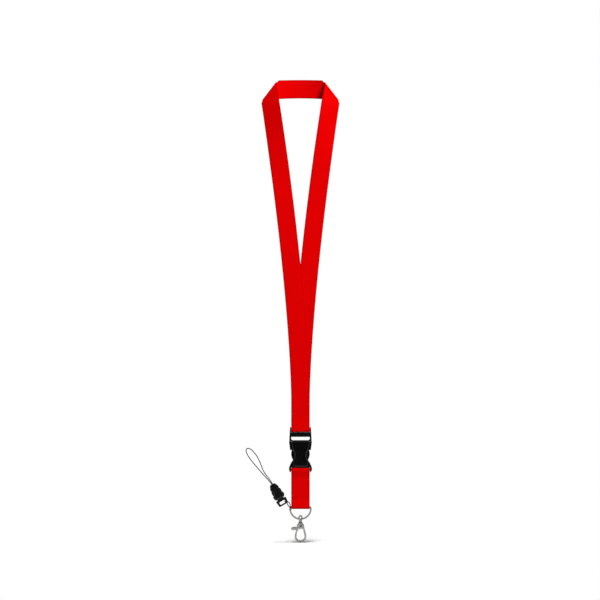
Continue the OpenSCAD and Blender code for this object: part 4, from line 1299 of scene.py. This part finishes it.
class LANYARD_OT_gate(Operator):
    """Make the hook's gate with its thumb tab"""
    bl_idname = "lanyard.gate"
    bl_label = "Gate"

    def execute(self, context):
        h = context.scene.lanyard_hook
        block_low = hook_heights().block
        pivot = PIVOTS["gate_open"]
        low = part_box("hook_gate")[0]
        start = math.degrees(math.atan2(low.z - pivot.z, -hook_half(h, low.z) - pivot.x)) + 360
        end = pin_arc(gate_reach(h), start, start + 14.5, 6)
        top = block_low - 0.2 * MM
        neck = -hook_half(h, block_low) - 0.7 * MM
        boss = h.pin / 2 + 0.6 * MM
        arm = [*end, (1.9 * MM - hook_half(h, top - MM), top - MM, 0.8 * MM),
               (pivot.x + 0.5 * MM, pivot.z - boss + 0.2 * MM), (pivot.x - boss, pivot.z + 0.6 * MM),
               (neck - 0.2 * MM, pivot.z + 1.0 * MM), (neck - 0.2 * MM, top - 0.8 * MM),
               (-hook_half(h, top - 1.2 * MM), top - 1.2 * MM, 0.6 * MM)]
        tab_end, tab_top, tab_low = neck - h.tab, pivot.z + 1.5 * MM, pivot.z - 2.4 * MM
        tab = [(tab_end + 0.6 * MM, tab_low - 0.3 * MM, 0.9 * MM), (neck, tab_low, 0.8 * MM),
               (neck, tab_top, 0.8 * MM), (tab_end + 0.4 * MM, tab_top - 1.2 * MM, 0.9 * MM),
               (tab_end, tab_top - 2 * MM, 0.9 * MM)]
        thick = 1.0 * MM
        solids = [slab(arm, -thick, thick, 0.35 * MM), slab(tab, -1.7 * MM, 1.7 * MM, 0.75 * MM),
                  slab(circle(pivot.xz, boss), -thick, thick, 0.2 * MM)]
        hole = h.pin / 2 + CLEARANCE
        gate = fuse("gate", solids, [lathe([(hole, 3 * MM), (hole, -3 * MM)], across_pin(), 24)])
        settle(gate, "gate", "nickel_plate", "hook_gate")
        return {"FINISHED"}


# Phone tether, whose frame has its origin at the middle of the small frame's outer edge

def at_tether(context):
    """Frame of the tether: across it, to the back, and along it"""
    t = context.scene.lanyard_tether
    turned = Matrix.Translation(PIVOTS["link_swing"]) @ Matrix.Rotation(-t.lean, 4, "Y")
    return turned @ Matrix.Translation((-LINK_SIDE, 0, t.link))


def small_base(t):
    """Height of the small latch's base along the tether"""
    return t.frame_height + 0.6 * MM


def small_latch(context):
    """Frame of the large buckle's latch, turned over and made small"""
    t = context.scene.lanyard_tether
    turned = at_tether(context) @ Matrix.Translation((0, 0, small_base(t))) @ Matrix.Rotation(math.pi, 4, "Y")
    return turned @ Matrix.Scale(t.scale, 4)


def small_top(t):
    """Height of the small socket's top along the tether"""
    return small_base(t) + MOUTH_GAP * t.scale + t.socket_length


# Route of the phone loop from the small socket's top, across and along the tether, in millimetres
LOOP_ROUTE = [
    (-0.52, -5.5), (-0.52, -0.5), (-0.55, 1.5), (-0.9, 4), (-1.8, 8.5), (-3.1, 14), (-4.4, 21), (-5.7, 28),
    (-6.6, 33.5), (-7.1, 38.5), (-7.1, 42), (-6.6, 44.7), (-5.3, 46.5), (-3.4, 46.8), (-1.8, 45.4), (-0.5, 43),
    (0.4, 39), (0.9, 34), (0.7, 29.5), (0.1, 24.5), (-0.7, 20), (-0.9, 15.5), (-0.4, 10), (0.3, 5), (0.55, 1.5),
    (0.52, -0.5), (0.52, -5.5)]


class LANYARD_OT_phone_loop(Operator):
    """Make the thin cord loop for a phone, and the knot inside the small socket that holds it"""
    bl_idname = "lanyard.phone_loop"
    bl_label = "Phone loop"

    def execute(self, context):
        t = context.scene.lanyard_tether
        at = at_tether(context)
        top = small_top(t)
        route = [at @ Vector((x * MM, 0, top + z * MM)) for x, z in LOOP_ROUTE]
        path = spline(route, 8)
        loop = piece("phone_loop", tube(path, t.cord / 2, sides=12))
        settle(loop, "tether_socket", "black_cord", "phone_loop_cord")
        low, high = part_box("loop_stop_knot")
        knot = piece("stop_knot", knot_shape((low + high) / 2, 0.62 * MM, 0.42 * MM, at.to_3x3()))
        settle(knot, "tether_socket", "black_cord", "loop_stop_knot")
        return {"FINISHED"}


def knot_shape(middle, reach, radius, turn=Matrix.Identity(3)):
    """Small overhand knot: a closed trefoil of cord"""
    path = []
    for a in around(72):
        flat = Vector((math.sin(a) + 2 * math.sin(2 * a), -math.sin(3 * a), math.cos(a) - 2 * math.cos(2 * a)))
        path.append(middle + turn @ (flat * reach / 3))
    return tube(path, radius, sides=10, closed=True)


class LANYARD_OT_link(Operator):
    """Make the hitch on the D-ring, the knots beside it and the short link cord"""
    bl_idname = "lanyard.link"
    bl_label = "Link"

    def execute(self, context):
        t, h = context.scene.lanyard_tether, context.scene.lanyard_hook
        centre, radius = ring_centre(h)
        low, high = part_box("ring_hitch")
        level = (low.z + high.z) / 2
        drop = math.asin((centre.z - level) / radius)
        middle = centre + Vector((-math.cos(drop), 0, -math.sin(drop))) * radius
        away = (middle - centre).normalized()
        along = Vector((away.z, 0, -away.x))
        strand = 0.25 * t.cord
        wrap = h.ring_wire / 2 + 0.05 * MM + strand
        turns = 1.2
        path = []
        for share in spaced(-0.5, 0.5, 60):
            a = 2 * math.pi * turns * share
            lift = along * share * 2.2 * strand
            path.append(middle + away * wrap * math.cos(a) + Vector((0, wrap * math.sin(a), 0)) - lift)
        hitch = piece("hitch", tube(path, strand, sides=10, round_ends=True))
        settle(hitch, "ring", "black_cord", "ring_hitch")
        knot = PIVOTS["link_swing"]
        out = h.ring_wire / 2 + 0.78 * MM
        knots = [knot_shape(knot + Vector((0, y, 0)), 0.5 * MM, 0.36 * MM) for y in (-out, out)]
        settle(piece("knots", joined(knots)), "link", "black_cord", "link_knot")
        front = t.frame_depth / 2 + t.cord / 2 + 0.15 * MM
        at = at_tether(context)
        slot = at.inverted() @ PIVOTS["tether_swing"]
        start = -t.link + 0.45 * MM
        side = LINK_SIDE
        route = [
            (side + 0.2 * MM, -out, start), (side + 1.4 * MM, -out, -0.62 * t.link),
            (side + 2 * MM, -front, -0.25 * t.link), (side + 1.4 * MM, -front, 0.6 * MM),
            (side - 0.3 * MM, -front, 1.9 * MM), (slot.x, 0.3 * MM - front, slot.z), (slot.x, 0, slot.z),
            (slot.x, front - 0.3 * MM, slot.z), (slot.x + 0.4 * MM, front, 1.4 * MM),
            (side - 0.7 * MM, front, -0.4 * MM), (side - 0.7 * MM, out, -0.55 * t.link),
            (side - 0.2 * MM, out, start)]
        cord = tube(spline([at @ Vector(p) for p in route], 8), t.cord / 2, sides=12, round_ends=True)
        settle(piece("link", cord), "link", "black_cord", "link_cord")
        return {"FINISHED"}


class LANYARD_OT_small_buckle(Operator):
    """Make the small buckle's plug frame and socket"""
    bl_idname = "lanyard.small_buckle"
    bl_label = "Small buckle"

    def execute(self, context):
        b, t = context.scene.lanyard_buckle, context.scene.lanyard_tether
        at, latch_at = at_tether(context), small_latch(context)
        latch = latch_sizes(b)
        edge = t.frame_width / 2
        high = t.frame_height
        y = t.frame_depth / 2
        base = small_base(t)
        waist = latch.cavity * t.scale - 1.1 * MM
        frame_outline = mirrored([
            (edge, 0, 0.5 * MM), (edge + 0.7 * MM, high - 1.5 * MM, 0.4 * MM),
            (edge + 0.5 * MM, high - 0.5 * MM, 0.3 * MM), (waist, high - 0.4 * MM, 0.2 * MM)])
        neck = mirrored([(waist, high - 0.9 * MM), (waist, base)])
        slot_outline = mirrored([(3.4 * MM, 1.55 * MM, 0.8 * MM), (3.3 * MM, 4.6 * MM, 1.0 * MM)])
        core, cuts = core_solids(b, latch_at)
        cuts.append(slab(slot_outline, -2 * y, 2 * y, at=at))
        solids = [slab(frame_outline, -y, y, 0.35 * MM, at), slab(neck, -y, y, 0.2 * MM, at), *core]
        settle(fuse("small_plug", solids, cuts), "tether", "black_acetal", "small_plug_frame")
        mouth = base + MOUTH_GAP * t.scale
        top = small_top(t)
        thick = t.socket_depth / 2
        wide = latch.half * t.scale - 0.5 * MM

        def turned(arc_points):
            """A latch outline as it lies along the tether"""
            return [(x * t.scale, base - z * t.scale) for x, z in reversed(arc_points)]

        bite = turned(window_arc(b))
        bore = t.cord + 0.08 * MM
        body = mirrored([
            (wide - 1.1 * MM, mouth, 0.9 * MM), (wide, mouth + 2 * MM, 1.2 * MM),
            (wide, bite[0][1] - 0.9 * MM, 1 * MM), (wide - 0.7 * MM, bite[0][1], 0.4 * MM), *bite,
            (wide - 1.1 * MM, bite[-1][1], 0.4 * MM), (wide - 1.5 * MM, bite[-1][1] + 1.7 * MM, 1.5 * MM),
            (bore + 2.9 * MM, top - 2.2 * MM, 1.5 * MM), (bore + 1.9 * MM, top - 0.5 * MM, 0.6 * MM),
            (bore + 1.3 * MM, top, 0.5 * MM)])
        inner = turned(window_arc(b, 0.6 * MM))
        panel = mirrored([
            (wide - 2.2 * MM, mouth + 0.4 * MM, 0.6 * MM), (wide - 1.7 * MM, mouth + 2.4 * MM, 1 * MM), *inner,
            (wide - 2.4 * MM, inner[-1][1] + 1.2 * MM, 1 * MM), (bore + 1.8 * MM, top - 2 * MM, 0.8 * MM),
            (bore + 0.8 * MM, top - 0.8 * MM, 0.5 * MM)])
        face = thick - 0.3 * MM
        solids = [slab(body, -face, face, 0.5 * MM, at), *raised_panels(panel, face, thick, 0.4 * MM, 2.2, at)]
        cuts = [cavity_cut(b, latch_at), lathe([(bore, top + MM), (bore, base + 11 * MM)], at, 24)]
        settle(fuse("small_socket_moulded", solids, cuts), "tether_socket", "black_acetal", "small_socket")
        return {"FINISHED"}


# Sidebar and running

OPERATORS = (
    LANYARD_OT_stage, LANYARD_OT_phone_loop, LANYARD_OT_neck_webbing, LANYARD_OT_short_webbing, LANYARD_OT_plug,
    LANYARD_OT_release_arms, LANYARD_OT_socket, LANYARD_OT_ring, LANYARD_OT_swivel, LANYARD_OT_hook,
    LANYARD_OT_gate, LANYARD_OT_link, LANYARD_OT_small_buckle)
SETTINGS = {
    "lanyard_webbing": WebbingSettings, "lanyard_buckle": BuckleSettings, "lanyard_hook": HookSettings,
    "lanyard_tether": TetherSettings, "lanyard_stage": StageSettings}


class LANYARD_PT_sidebar(Panel):
    """Lists the lanyard's pieces"""
    bl_idname = "LANYARD_PT_sidebar"
    bl_label = "Lanyard"
    bl_space_type = "VIEW_3D"
    bl_region_type = "UI"
    bl_category = "Lanyard"

    def draw(self, context):
        for operator in OPERATORS:
            self.layout.operator(operator.bl_idname)


def register():
    for kind in (*SETTINGS.values(), *OPERATORS, LANYARD_PT_sidebar):
        bpy.utils.register_class(kind)
    for name, kind in SETTINGS.items():
        setattr(bpy.types.Scene, name, PointerProperty(type=kind))


def unregister():
    for name in SETTINGS:
        delattr(bpy.types.Scene, name)
    for kind in (LANYARD_PT_sidebar, *reversed(OPERATORS), *SETTINGS.values()):
        bpy.utils.unregister_class(kind)


def main():
    register()
    for operator in OPERATORS:
        group, name = operator.bl_idname.split(".")
        getattr(getattr(bpy.ops, group), name)()


if __name__ == "__main__":
    main()
